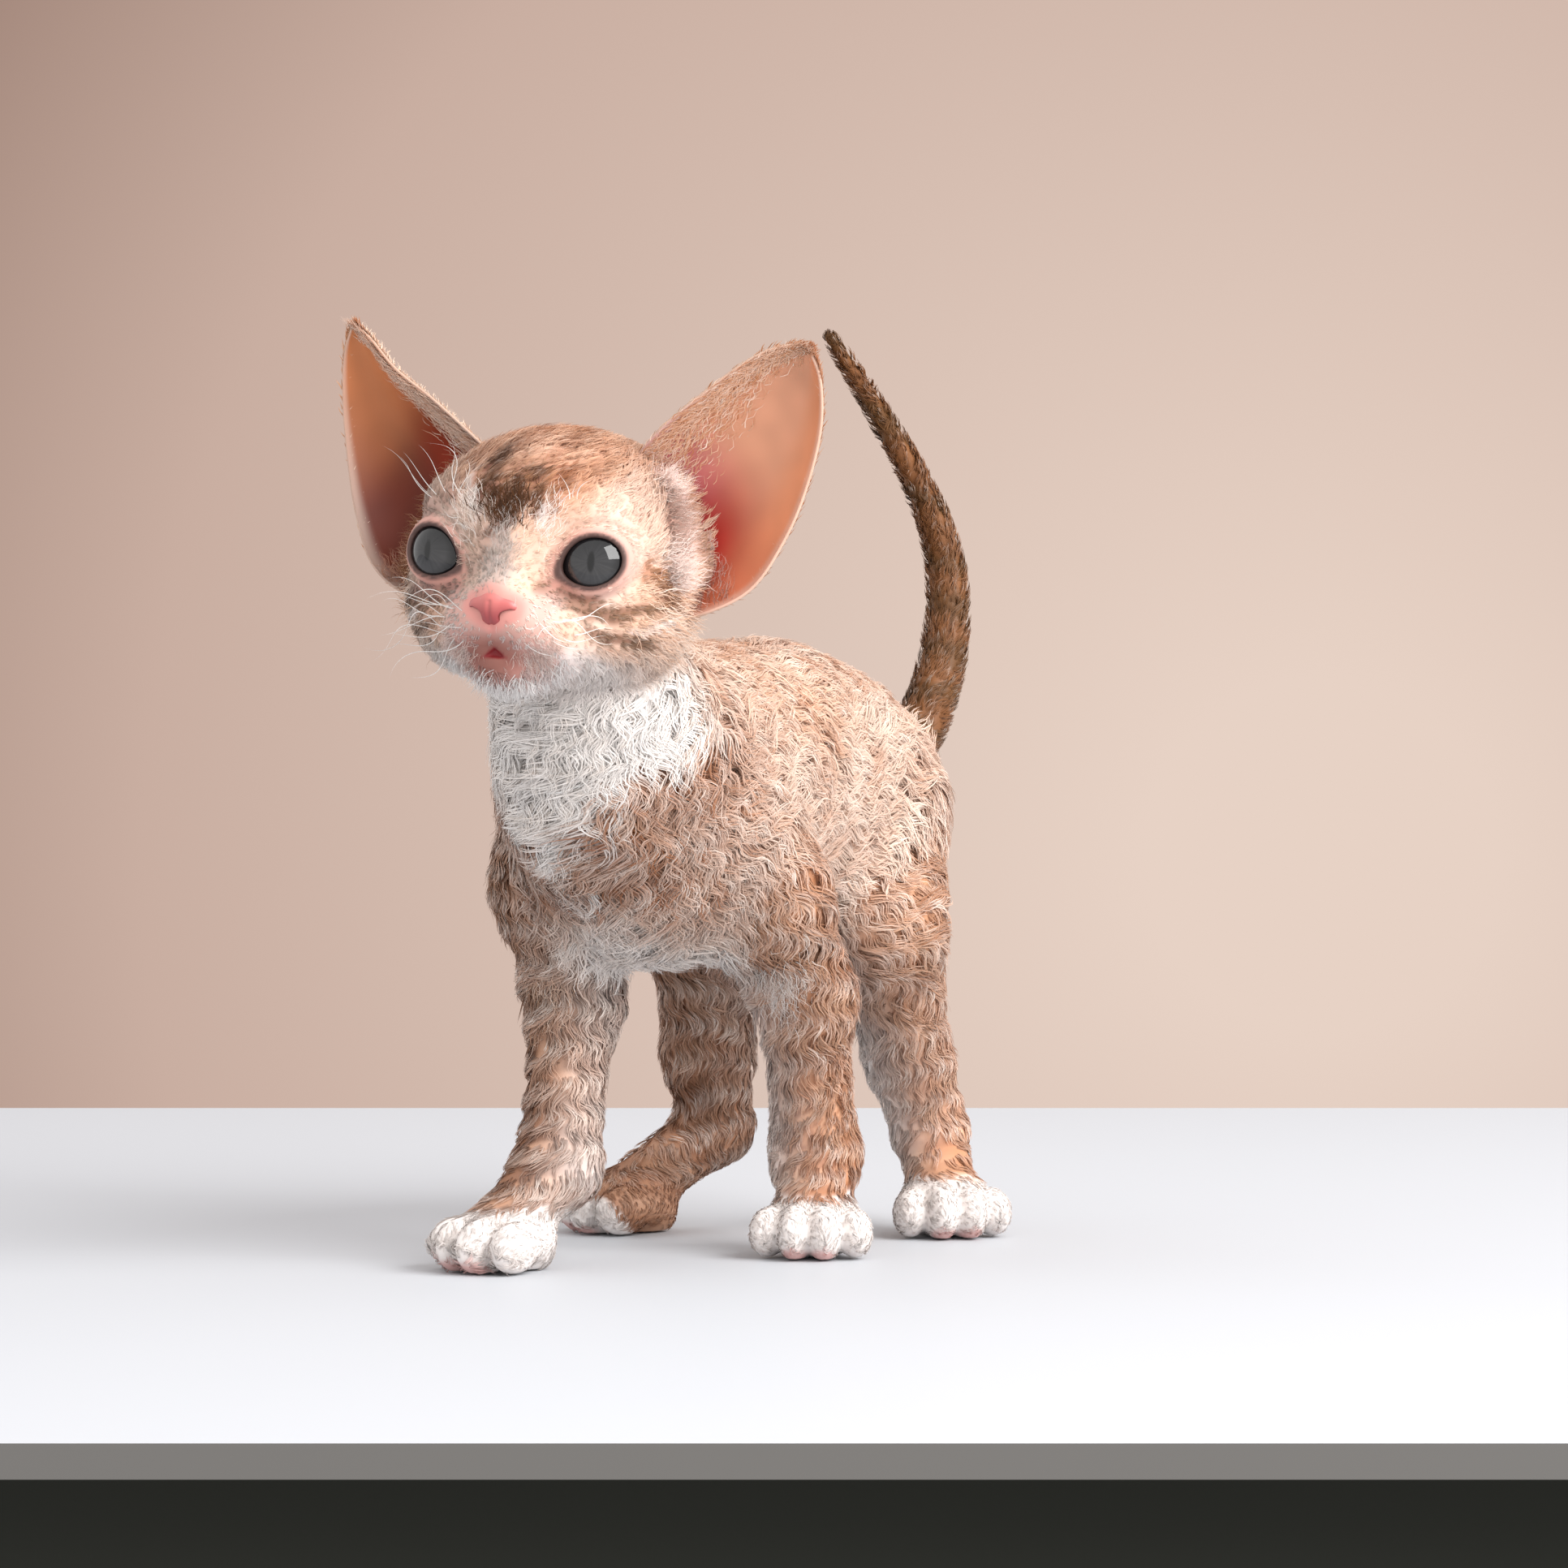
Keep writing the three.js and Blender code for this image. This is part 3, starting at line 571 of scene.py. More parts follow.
def head_colours(q):
    """The coat's colour on the head, and how pink the skin shows through it."""
    x, y, z = q.T
    patch = noise(q, 7, 3)
    fine = noise(q * vec(1, 0.5, 1), 2.2, 4)
    c = mix(CREAM, PEACH, clamp(0.55 + 0.35 * patch))
    crown = rising(z, 4, 14)
    c = mix(c, mix(PEACH, ORANGE, clamp(0.55 + 0.5 * fine)), 0.75 * crown)
    back = rising(y, -4, 10) * rising(z, -14, -4)
    c = mix(c, mix(PEACH, ORANGE, clamp(0.5 + 0.6 * fine)), 0.6 * back)
    temple = rising(np.abs(x), 12, 17) * rising(-y, -2, 8) * rising(z, -5, 0) * falling(z, 11, 17)
    c = mix(c, shade(222, 196, 180), 0.8 * temple)
    for points, width, colour, strength, mirrored in MARKS:
        near = along(points, q, mirrored) + 0.45 * fine * width
        c = mix(c, colour, strength * falling(near, 0.35 * width, 1.25 * width))
    low = falling(z + 0.22 * np.abs(x) + patch, -15.5, -11.5)
    muzzle_front = rising(-y, 12, 18) * falling(z, -9.5, -5.5) * falling(np.abs(x), 8, 12)
    c = mix(c, WHITE, clamp(low * 0.85 + muzzle_front * 0.6) * (1 - 0.5 * rising(np.abs(x), 14, 20)))
    shaded = falling(x, -9, 5) * rising(-y, 4, 14)
    c = c * (1 - 0.26 * shaded)[:, None]
    half = np.clip(2.9 - 0.26 * (z + 3), 0.7, 3.2)
    # the pale blaze up the nose bridge, greyed as painted shade
    blaze_with_painted_shade = falling(np.abs(x + 0.3) + 0.4 * fine, 0.6 * half, 1.4 * half) * rising(-y, 10, 16)
    blaze_with_painted_shade = blaze_with_painted_shade * rising(z, -8, -5) * falling(z, 3.5, 7)
    c = mix(c, shade(178, 166, 158), 0.85 * blaze_with_painted_shade)
    chin = bump(x, 6.5) * bump(z + 20.5, 2.6) * rising(-y, 14, 18)
    c = mix(c, mix(PINK, BROWN, clamp(0.1 + 0.35 * noise(q, 1.6, 9))), 0.7 * chin)
    c = mix(c, shade(146, 90, 80), 0.8 * clamp(1.5 * bare_mouth(q)))
    pink = clamp(0.15 + 0.55 * muzzle_front + 0.4 * chin)
    for s in SIDES:
        gap, ahead = lid_gap(q, s)
        ring = bump(np.maximum(gap, 0), 2.3) * (ahead > 0)
        c = mix(c, mix(PINK, MAUVE, 0.1 if s > 0 else 0.4), 0.35 * ring)
        pink = np.maximum(pink, 0.8 * ring)
    return c, pink


CREST = 7.4


def crest_phase(p, v):
    """How far along its waves the coat is: the crests run across the lie, side by side."""
    run = norm(p - vec(-9, -70, 125))
    for i, name in enumerate(LEGS):
        near = rising(v["trunk"] - v[name], -1, 7)
        run = run + near * ((155 if i < 2 else 186) - 1.15 * p[:, 2] + 0.2 * p[:, 0] - run)
    return TURN * run / CREST + 3.0 * noise(p, 14, 81)


def body_colours(p, v):
    """The coat's colour on the body, legs and tail."""
    x, y, z = p.T
    patch = noise(p, 12, 21)
    fine = noise(p, 4.2, 22)
    dabs = rising(noise(p, 3.4, 23), 0.15, 0.9)
    height = rising(z, 70, 108)
    c = mix(CREAM, PEACH, clamp(0.28 + 0.3 * height + 0.2 * patch))
    c = mix(c, ORANGE, dabs * (0.25 + 0.35 * height))
    # Darker in the troughs of the coat's waves: partly the coat's own banded colour, partly painted shade in
    # the troughs
    trough_shade_and_band = rising(-np.sin(crest_phase(p, v)), -0.3, 0.7)
    c = mix(c, ORANGE, 0.3 * trough_shade_and_band * rising(z, 56, 74) * clamp(0.8 + 0.4 * patch))
    spine = bump(x + 9, 5.0) * rising(z, 96, 106)
    c = mix(c, RUST, 0.32 * spine * clamp(0.6 + 0.6 * fine))
    front = falling(y + 0.25 * (z - 80), -46, -22)
    chest = front * rising(z, 54, 62) * falling(z, 98, 108)
    brown = mix(ORANGE, RUST, clamp(0.4 + 0.45 * fine + 0.3 * patch))
    c = mix(c, brown, chest * clamp(0.6 + 0.4 * trough_shade_and_band + 0.2 * patch) * rising(z, 60, 72))
    right = rising(-x, 17, 24) * falling(y, -34, -10)
    c = mix(c, mix(RUST, BROWN, clamp(0.4 + 0.5 * fine)), 0.7 * right * rising(z, 20, 40))
    tail = past_rump(v) > 0
    run = z + 0.5 * y
    ring = rising(np.sin(TURN * run / 9.5 + fine), -0.1, 0.7)
    on_tail = mix(mix(ORANGE, RUST, clamp(0.45 + 0.3 * fine)), shade(84, 54, 16), 0.6 + 0.25 * ring)
    c = np.where(tail[:, None], on_tail, c)
    for i, name in enumerate(LEGS):
        near = rising(v["trunk"] - v[name], -2, 6) * rising(3 - v[name], 0, 2)
        # the legs' wavy bands: partly their own stripes, partly painted shade in the troughs of the waves
        band = 0.25 + 0.75 * trough_shade_and_band
        base = mix(PEACH, ORANGE, clamp(0.32 + 0.3 * fine))
        dark = mix(ORANGE, RUST, clamp(0.7 + 0.5 * fine))
        if name.endswith("right"):
            base = mix(base, MAUVE, 0.3)
            dark = mix(dark, BROWN, 0.55)
        strength = (0.9 if i < 2 else 0.62) * clamp(0.85 + 0.3 * patch)
        if name == "foreleg_right":
            smudge = bump(z - 47, 8) + 0.6 * bump(z - 28, 4)
            dark = mix(dark, shade(86, 54, 34), clamp(0.6 * smudge))
        c = mix(c, mix(base, dark, band * strength), near)
    inner = 1.2 * bump(x + 7, 10) * falling(z, 60, 72)
    c = mix(c, WHITE, clamp(inner + falling(z, 54, 62) * rising(4 - v["trunk"], 0, 3)) * 0.92)
    bib = rising(15.5 * np.clip((z - 71) / 24, 0, 1.15) + 2.2 * fine - np.abs(x + 8.5), -2.0, 2.0)
    bib = bib * falling(y + 0.3 * (z - 90), -47, -38)
    throat = rising(z, 92, 98) * falling(y + 0.55 * (z - 100), -57, -45)
    c = mix(c, WHITE, clamp(bib + throat))
    for name, leg in LEGS.items():
        q = (p - vec(*leg["paw"])) @ turned(z=leg["heading"])
        cuff = 11.3 + 0.5 * fine if name != "hind_leg_right" else 3.0 - 1.1 * (q[:, 1] + 4.0)
        sock = falling(q[:, 2], cuff - 0.7, cuff + 0.7) * (v[name] < 4)
        pads = falling(q[:, 2] + 0.25 * (q[:, 1] + 8), 0.7, 1.8) * rising(-q[:, 1], 6, 9)
        c = mix(c, mix(shade(228, 221, 217), ROSE, 0.02 + 0.6 * pads), sock)
    return c


def colours(p):
    v = parts(p)
    q = in_head(p)
    head = head_share(v)
    on_head, pink = head_colours(q)
    on_head = mix(on_head, shade(238, 210, 200), 0.15 * pink)
    c = mix(body_colours(p, v), on_head, head)
    return clamp(c), pink * head, v, q, head


# Meshes
middle = (np.array(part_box("eye_left")[0]) + np.array(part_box("eye_left")[1])) * 500
SHIFT = middle - from_head(eye_at(1)[None, :])[0]


def build(name, points, faces, colour=None, uv=None, smooth=True):
    """A mesh object in metres from points in the kitten's layout, with faces of one size."""
    mesh = bpy.data.meshes.new(name)
    mesh.vertices.add(len(points))
    mesh.vertices.foreach_set("co", ((points + SHIFT) / 1000).astype(REAL).ravel())
    mesh.loops.add(faces.size)
    mesh.loops.foreach_set("vertex_index", faces.astype(np.int32).ravel())
    mesh.polygons.add(len(faces))
    mesh.polygons.foreach_set("loop_start", np.arange(0, faces.size, faces.shape[1], dtype=np.int32))
    mesh.update(calc_edges=True)
    mesh.polygons.foreach_set("use_smooth", np.full(len(faces), smooth))
    if colour is not None:
        layer = mesh.color_attributes.new("Coat", "FLOAT_COLOR", "POINT")
        layer.data.foreach_set("color", np.column_stack([colour, np.ones(len(colour))]).astype(REAL).ravel())
    if uv is not None:
        layer = mesh.uv_layers.new(name="OFBake")
        layer.data.foreach_set("uv", uv[faces.ravel()].astype(REAL).ravel())
    mesh.validate()
    piece = bpy.data.objects.new(name, mesh)
    bpy.context.collection.objects.link(piece)
    return piece


CORNERS = [(i, j, k) for i in (0, 1) for j in (0, 1) for k in (0, 1)]


def at_corners(grid):
    """A grid's values at each of the eight corners of its cells."""
    return [grid[i : i - 1 or None, j : j - 1 or None, k : k - 1 or None] for i, j, k in CORNERS]


def mesh_field(field, xs, ys, zs, reach):
    """A closed mesh where a field is zero on a grid, evaluated only in blocks near the surface."""
    axes = [np.asarray(a, REAL) for a in (xs, ys, zs)]
    block = 4
    corners = [np.append(np.arange(0, len(a) - 1, block), len(a) - 1) for a in axes]
    grid = np.stack(np.meshgrid(*[a[c] for a, c in zip(axes, corners)], indexing="ij"), -1)
    coarse = evaluate(field, grid.reshape(-1, 3)).reshape(grid.shape[:3])
    marked = np.minimum.reduce(at_corners(np.abs(coarse))) < reach
    sign = np.sign(coarse[:-1, :-1, :-1])
    home, before = (
        [np.minimum((np.arange(len(a)) - back).clip(0) // block, len(c) - 2) for a, c in zip(axes, corners)]
        for back in (0, 1)
    )
    values = sign[np.ix_(*home)].astype(REAL) * 9
    wanted = np.zeros(values.shape, bool)
    for pick in range(8):
        wanted |= marked[np.ix_(*[(home, before)[pick >> a & 1][a] for a in range(3)])]
    where = np.nonzero(wanted)
    values[where] = evaluate(field, np.stack([a[i] for a, i in zip(axes, where)], -1))
    inside = values < 0
    cells = at_corners(inside)
    active = np.logical_or.reduce(cells) & ~np.logical_and.reduce(cells)
    index = np.full(active.shape, -1, np.int64)
    cell = np.array(np.nonzero(active)).T
    index[tuple(cell.T)] = np.arange(len(cell))
    total, hits = np.zeros((len(cell), 3)), np.zeros(len(cell))
    for a in CORNERS:
        for axis in range(3):
            if a[axis]:
                continue
            b = tuple(1 if n == axis else a[n] for n in range(3))
            ca, cb = cell + a, cell + b
            fa, fb = values[tuple(ca.T)], values[tuple(cb.T)]
            cut = (fa < 0) != (fb < 0)
            share = np.where(cut, fa / np.where(cut, fa - fb, 1), 0)
            pa = np.stack([axes[n][ca[:, n]] for n in range(3)], -1)
            pb = np.stack([axes[n][cb[:, n]] for n in range(3)], -1)
            total += np.where(cut[:, None], pa + share[:, None] * (pb - pa), 0)
            hits += cut
    points = (total / hits[:, None]).astype(REAL)
    quads = []
    for axis in range(3):
        n1, n2 = [n for n in range(3) if n != axis]
        ahead = [slice(None)] * 3
        ahead[axis] = slice(1, None)
        behind = [slice(None)] * 3
        behind[axis] = slice(None, -1)
        flip = inside[tuple(ahead)] != inside[tuple(behind)]
        edge = np.array(np.nonzero(flip)).T
        edge = edge[(edge[:, n1] > 0) & (edge[:, n2] > 0)]
        around = []
        for s1, s2 in ((-1, -1), (0, -1), (0, 0), (-1, 0)):
            c = edge.copy()
            c[:, n1] += s1
            c[:, n2] += s2
            c = np.minimum(c, np.array(index.shape) - 1)
            around.append(index[tuple(c.T)])
        quad = np.stack(around, -1)
        outward = inside[tuple(edge.T)]
        if axis == 1:
            outward = ~outward
        quad = np.where(outward[:, None], quad, quad[:, ::-1])
        quads.append(quad[(quad >= 0).all(1)])
    for _ in range(3):
        value, gradient = evaluate_slope(field, points)
        move = value / np.maximum((gradient * gradient).sum(-1), 0.25)
        points = points - gradient * np.clip(move, -0.35, 0.35)[:, None]
    return points, np.vstack(quads)


def evaluate(function, p, most=150000):
    """A function's values at points, worked out for some of them at a time."""
    return np.concatenate([function(p[i : i + most]) for i in range(0, len(p), most)])


def evaluate_slope(field, p, most=100000):
    found = [slope_at(field, p[i : i + most], 0.12) for i in range(0, len(p), most)]
    return [np.concatenate(column) for column in zip(*found)]


FINE, COARSE = 0.5, 0.85


def graded(low, high, start, end):
    """Grid places from low to high, finely spaced between start and end."""
    left, inner, right = (
        np.linspace(a, b, max(2, round((b - a) / space) + 1))
        for a, b, space in ((low, start, COARSE), (start, end, FINE), (end, high, COARSE))
    )
    return np.concatenate([left[:-1], inner, right[1:]])


# Materials
def new_material(name):
    material = bpy.data.materials.new(name)
    material.use_nodes = True
    return material, material.node_tree.nodes, material.node_tree.links


def soft_material(name, rough, see_through=0.0, gloss=0.35, sheen=0.0):
    """A material that takes its colour from the piece's own marks."""
    material, nodes, links = new_material(name)
    surface = nodes["Principled BSDF"]
    marks = nodes.new("ShaderNodeVertexColor")
    marks.layer_name = "Coat"
    links.new(marks.outputs["Color"], surface.inputs["Base Color"])
    for setting, value in (("Roughness", rough), ("Specular IOR Level", gloss), ("Sheen Weight", sheen)):
        surface.inputs[setting].default_value = value
    if see_through:
        glow = nodes.new("ShaderNodeBsdfTranslucent")
        links.new(marks.outputs["Color"], glow.inputs["Color"])
        both = nodes.new("ShaderNodeMixShader")
        both.inputs["Fac"].default_value = see_through
        links.new(surface.outputs["BSDF"], both.inputs[1])
        links.new(glow.outputs["BSDF"], both.inputs[2])
        links.new(both.outputs["Shader"], nodes["Material Output"].inputs["Surface"])
    return material


def opaque(colour):
    return (*[float(c) for c in colour], 1)


def plain_material(name, colour, rough, gloss):
    material, nodes, _ = new_material(name)
    surface = nodes["Principled BSDF"]
    surface.inputs["Base Color"].default_value = opaque(colour)
    surface.inputs["Roughness"].default_value = rough
    surface.inputs["Specular IOR Level"].default_value = gloss
    return material


coat_material = soft_material("coat", 0.62, see_through=0.28, gloss=0.3, sheen=0.06)
skin_material = soft_material("skin", 0.55, gloss=0.35)
ear_material = soft_material("ear_skin", 0.5, see_through=0.35, gloss=0.35)
wet_material = soft_material("wet_skin", 0.32, gloss=0.5)
eye_material = soft_material("eye", 0.04, gloss=0.5)


def finish_piece(piece, material, slot, *nodes):
    piece.data.materials.append(material)
    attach(piece, "root")
    if nodes:
        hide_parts(*nodes)


# The skin
skin_points, skin_quads = mesh_field(
    skin_field,
    graded(-61, 32, -37, 18),
    graded(-92, 84, -90, -36),
    graded(-1, 174, 101, 150),
    5.0,
)


def skin_colours(p):
    c, pink, _, q, head = colours(p)
    c = mix(c * (0.83 + 0.2 * c[:, 1:2]), PINK, np.clip(0.4 * pink, 0, 0.75))
    c = mix(c, shade(178, 118, 104), 0.62 * clamp(pink * 1.5))
    c = mix(c, shade(120, 72, 62), 0.85 * clamp(1.3 * bare_mouth(q) * head))
    face_on = head > 0.5
    f = q[face_on]
    tone = c[face_on]
    for s in SIDES:
        gap, ahead = lid_gap(f, s)
        rim = falling(gap, 0.6, 1.2) * (ahead > 0)
        tone = mix(tone, DARK, 0.9 * rim)
        inside = falling(gap, -0.6, -0.2) * (ahead > 0)
        tone = mix(tone, DARK, 0.9 * inside)
    lip = bump(nearest(lip_bars, f), 0.85) * (f[:, 1] < -8)
    tone = mix(tone, MOUTH * 0.7, 0.9 * lip)
    crease = bump(nearest(philtrum_bars, f), 0.5)
    tone = mix(tone, ROSE * 0.7, 0.7 * crease)
    open_mouth = falling(mouth_gap(f), 0.05, 0.5)
    tone = mix(tone, shade(120, 26, 30), open_mouth)
    around_nose = falling(nose_form(f), 0.4, 1.6)
    tone = mix(tone, ROSE, 0.7 * around_nose)
    c[face_on] = tone
    return c


skin = build("skin", skin_points, skin_quads, evaluate(skin_colours, skin_points, 120000))
finish_piece(
    skin, skin_material, "coat_red",
    "torso", "neck", "head", "foreleg_left", "foreleg_right", "forepaw_left", "forepaw_right",
    "hind_leg_left", "hind_leg_right", "hind_paw_left", "hind_paw_right", "tail_base", "tail_tip",
)

# The nose leather
nostrils = [limb((s * 2.5, -25.0, -11.2), (s * 3.3, -24.7, -10.8), 0.9, 0.85) for s in SIDES]
nostril_tails = [limb((s * 3.3, -24.6, -10.8), (s * 5.1, -23.1, -9.8), 0.6, 0.4) for s in SIDES]


def nose_skin(q):
    d = nose_form(q)
    for hole in nostrils + nostril_tails:
        d = carve(d, hole(q), 0.5)
    d = d + 0.28 * bump(q[:, 0], 0.35) * (q[:, 2] < -8.6)
    return d


nose_points, nose_quads = mesh_field(
    nose_skin, np.arange(-6.5, 6.6, 0.24), np.arange(-28, -18.4, 0.24), np.arange(-14.5, -5.2, 0.24), 2.4
)


def nose_colours(q):
    c = mix(shade(150, 62, 64), shade(198, 114, 108), rising(q[:, 2], -12, -6.5))
    c = mix(c, shade(160, 66, 68), 0.3 * rising(noise(q, 1.6, 41), 0, 1))
    hole = np.minimum.reduce([h(q) for h in nostrils + nostril_tails])
    return mix(c, MOUTH * 0.6, falling(hole, 0.02, 0.45))


nose = build("nose_leather", from_head(nose_points), nose_quads, nose_colours(nose_points))
finish_piece(nose, wet_material, "skin_pink", "nose")

# The eyes: slate grey irises with a dark outer ring and an upright slit
RINGS, SEGMENTS = 72, 96


def make_eye(side, word):
    across, up, gaze = eye_axes(side)
    lean = (np.linspace(0, 1, RINGS) ** 1.25 * math.pi)[:, None]
    turn = np.linspace(0, TURN, SEGMENTS, endpoint=False)[None, :]
    a, b = np.sin(lean) * np.cos(turn), np.sin(lean) * np.sin(turn)
    c = np.cos(lean) * np.ones_like(turn)
    bulge = 1 + 0.035 * np.exp(-((lean / 0.62) ** 4))
    rays = a[..., None] * across + b[..., None] * up + c[..., None] * gaze
    points = eye_at(side) + (EYE_RADIUS - 0.05) * bulge[..., None] * rays
    x, y = a * EYE_RADIUS, b * EYE_RADIUS
    r = np.hypot(x, y) + 20 * (c < 0)
    angle = np.arctan2(y, x)
    draw = np.random.default_rng(61 + side)
    streak = sum(np.sin(n * angle + draw.uniform(0, 6.3) + 0.5 * r) for n in (9, 17, 23, 31, 41)) / 5
    # radial streaks of the iris, made darker towards the top as painted shade
    streaks_and_lid_shade = clamp(0.55 + 0.4 * streak - 0.09 * y - 0.04 * side * x)
    colour = mix(shade(28, 28, 30), shade(54, 53, 54), streaks_and_lid_shade)
    # painted shadow of the upper lid over the top of the iris
    colour = mix(colour, shade(16, 16, 18), 0.75 * rising(y - 0.3 * side * x, -0.5, 4.0))
    colour = mix(colour, shade(12, 11, 13), 0.5 * rising(r, 3.2, 4.1) + 0.5 * rising(r, 4.0, 4.7))
    slit = np.hypot(x / 0.62, y / 1.8)
    colour = mix(colour, shade(2, 2, 3), falling(slit, 0.75, 1.2))
    i = np.arange(RINGS - 1)[:, None] * SEGMENTS
    j = np.arange(SEGMENTS)[None, :]
    k = (j + 1) % SEGMENTS
    quads = np.stack([i + j, i + SEGMENTS + j, i + SEGMENTS + k, i + k], -1).reshape(-1, 4)
    ball = build(f"eye_{word}_ball", from_head(points.reshape(-1, 3)), quads, colour.reshape(-1, 3))
    finish_piece(ball, eye_material, "eye", f"eye_{word}")


for side, word in BOTH:
    make_eye(side, word)


# The ears: thin cups, the same sheets as the solids' ears
def ear_frame(side, s, t):
    """On an ear: its place and the ways out of its back, to its tip and across to its outer edge."""
    e = EAR_STEP
    ahead = ear_sheet(side, np.minimum(s + e, 1), t) - ear_sheet(side, np.maximum(s - e, 0), t)
    rise = ear_sheet(side, s, np.minimum(t + e, 1)) - ear_sheet(side, s, np.maximum(t - e, 0))
    outward = unit(np.cross(rise, ahead) * side)
    rise = unit(rise)
    return ear_sheet(side, s, t), outward, rise, unit(np.cross(rise, outward)) * side


def ear_colours(side, s, t, back):
    p = ear_sheet(side, s, t)
    fine = noise(p, 2.4, 71)
    patch = noise(p, 9, 72)
    if back:
        c = mix(PEACH, ORANGE, clamp(0.4 + 0.3 * fine))
        return mix(c, CREAM, 0.5 * rising(np.abs(s - 0.5), 0.36, 0.5))
    if side > 0:
        c = mix(shade(172, 40, 38), shade(226, 166, 134), rising(t + 0.05 * patch, 0.16, 0.58))
        # painted glow: orange where light shines through the outer half of the ear
        c = mix(c, shade(236, 160, 116), 0.7 * rising(s + 0.05 * patch, 0.6, 0.88))
        c = mix(c, shade(214, 134, 146), 0.75 * falling(t, 0.2, 0.55) * falling(s, 0.25, 0.6))
        c = mix(c, shade(190, 44, 40), 0.9 * bump(s - 0.58, 0.3) * bump(t - 0.18, 0.18))
    else:
        # the deep orange-red of the lower half is partly the skin's own colour and partly painted glow of
        # light shining through the ear
        c = mix(shade(110, 56, 50), shade(112, 40, 16), rising(t + 0.05 * patch, 0.05, 0.3))
        c = mix(c, shade(218, 140, 92), rising(t + 0.06 * patch, 0.38, 0.9))
        c = mix(c, shade(176, 58, 28), 0.6 * bump(s - 0.3, 0.16) * bump(t - 0.34, 0.2))
        c = mix(c, shade(120, 40, 34), 0.5 * bump(s - 0.45, 0.3) * bump(t - 0.08, 0.1))
    c = c * (1 + 0.05 * fine)[:, None]
    # the pale rim is partly the ear's own pale edge and partly painted light where the rim is lit from behind
    rim = np.maximum(falling(s, 0.0, 0.07), rising(s, 0.94, 1.0))
    return mix(c, CREAM, 0.5 * rim)


EAR_ACROSS, EAR_UP = 56, 72


def make_ear(side, word):
    share = 0.5 - 0.5 * np.cos(math.pi * np.arange(EAR_ACROSS + 1) / EAR_ACROSS)
    s, t = np.meshgrid(share, np.linspace(0, 0.985, EAR_UP))
    flat_s, flat_t = s.ravel(), t.ravel()
    middle_sheet, outward, _, _ = ear_frame(side, flat_s, flat_t)
    thick = 0.5 + 0.5 * np.sin(math.pi * flat_s)
    ridges = bump(flat_s - 0.33, 0.05) + 0.8 * bump(flat_s - 0.47, 0.04)
    ridges = 0.55 * ridges * bump(flat_t, 0.3)
    front = middle_sheet - outward * (thick / 2 + ridges)[:, None]
    behind = middle_sheet + outward * (thick / 2)[:, None]
    width = EAR_ACROSS + 1
    count = len(front)
    i = np.arange(EAR_UP - 1)[:, None] * width
    j = np.arange(EAR_ACROSS)[None, :]
    face_on = np.stack([i + j, i + j + 1, i + width + j + 1, i + width + j], -1).reshape(-1, 4)
    rows = np.arange(EAR_UP - 1) * width
    columns = np.arange(EAR_ACROSS)
    top = (EAR_UP - 1) * width
    edge_in = np.stack([rows, rows + width, rows + width + count, rows + count], -1)
    edge_out = np.stack([rows + width, rows, rows + count, rows + width + count], -1) + EAR_ACROSS
    edge_low = np.stack([columns + 1, columns, columns + count, columns + 1 + count], -1)
    edge_top = np.stack([columns, columns + 1, columns + 1 + count, columns + count], -1) + top
    quads = np.vstack([face_on, face_on[:, ::-1] + count, edge_in, edge_out, edge_low, edge_top])
    if side < 0:
        quads = quads[:, ::-1]
    tone = np.vstack([ear_colours(side, flat_s, flat_t, False), ear_colours(side, flat_s, flat_t, True)])
    ear = build(f"ear_{word}_cup", from_head(np.vstack([front, behind])), quads, tone)
    finish_piece(ear, ear_material, "skin_ear", f"ear_{word}")


for side, word in BOTH:
    make_ear(side, word)


# The coat: locks of fine flat strands that follow the lie of the hair in waves
def lie_at(p, v, q, head):
    """The way the coat lies."""
    trunk_lie = vec(0, 1, -0.35) + np.zeros_like(p)
    trunk_lie[:, 0] += 0.02 * (p[:, 0] + 9)
    chest = falling(p[:, 1], -48, -22)
    down = np.stack([0.012 * (p[:, 0] + 9), 0.1 + 0 * p[:, 1], -1 + 0 * p[:, 2]], -1)
    lie = mix(trunk_lie, down, chest)
    for name, leg in LEGS.items():
        near = rising(v["trunk"] - v[name], -3, 6)
        lie = mix(lie, vec(0, 0.25, -1), near)
        ahead = turned(z=leg["heading"]) @ vec(0, -1, 0)
        foot = near * falling(p[:, 2], 7, 15)
        lie = mix(lie, ahead + vec(0, 0, -0.35), foot)
    tail = rising(past_rump(v), -1.5, 2)
    if (tail > 0).any():
        gaps = norm(p[:, None, :] - tail_points[None, :, :])
        lie = mix(lie, tail_ways[gaps.argmin(1)], tail)
    from_nose = q - vec(0, -27, -7)
    from_nose[:, 2] *= 0.9
    radial = unit(from_nose) @ HEAD_TURN.T
    low = falling(q[:, 2], -19, -14)
    radial = mix(radial, vec(0, 0.6, -0.8), 0.6 * low)
    return mix(lie, radial, head)


def toward(plan, share, **targets):
    """Moves values of a plan towards targets by a share."""
    for name, target in targets.items():
        plan[name] = plan[name] + share * (target - plan[name])


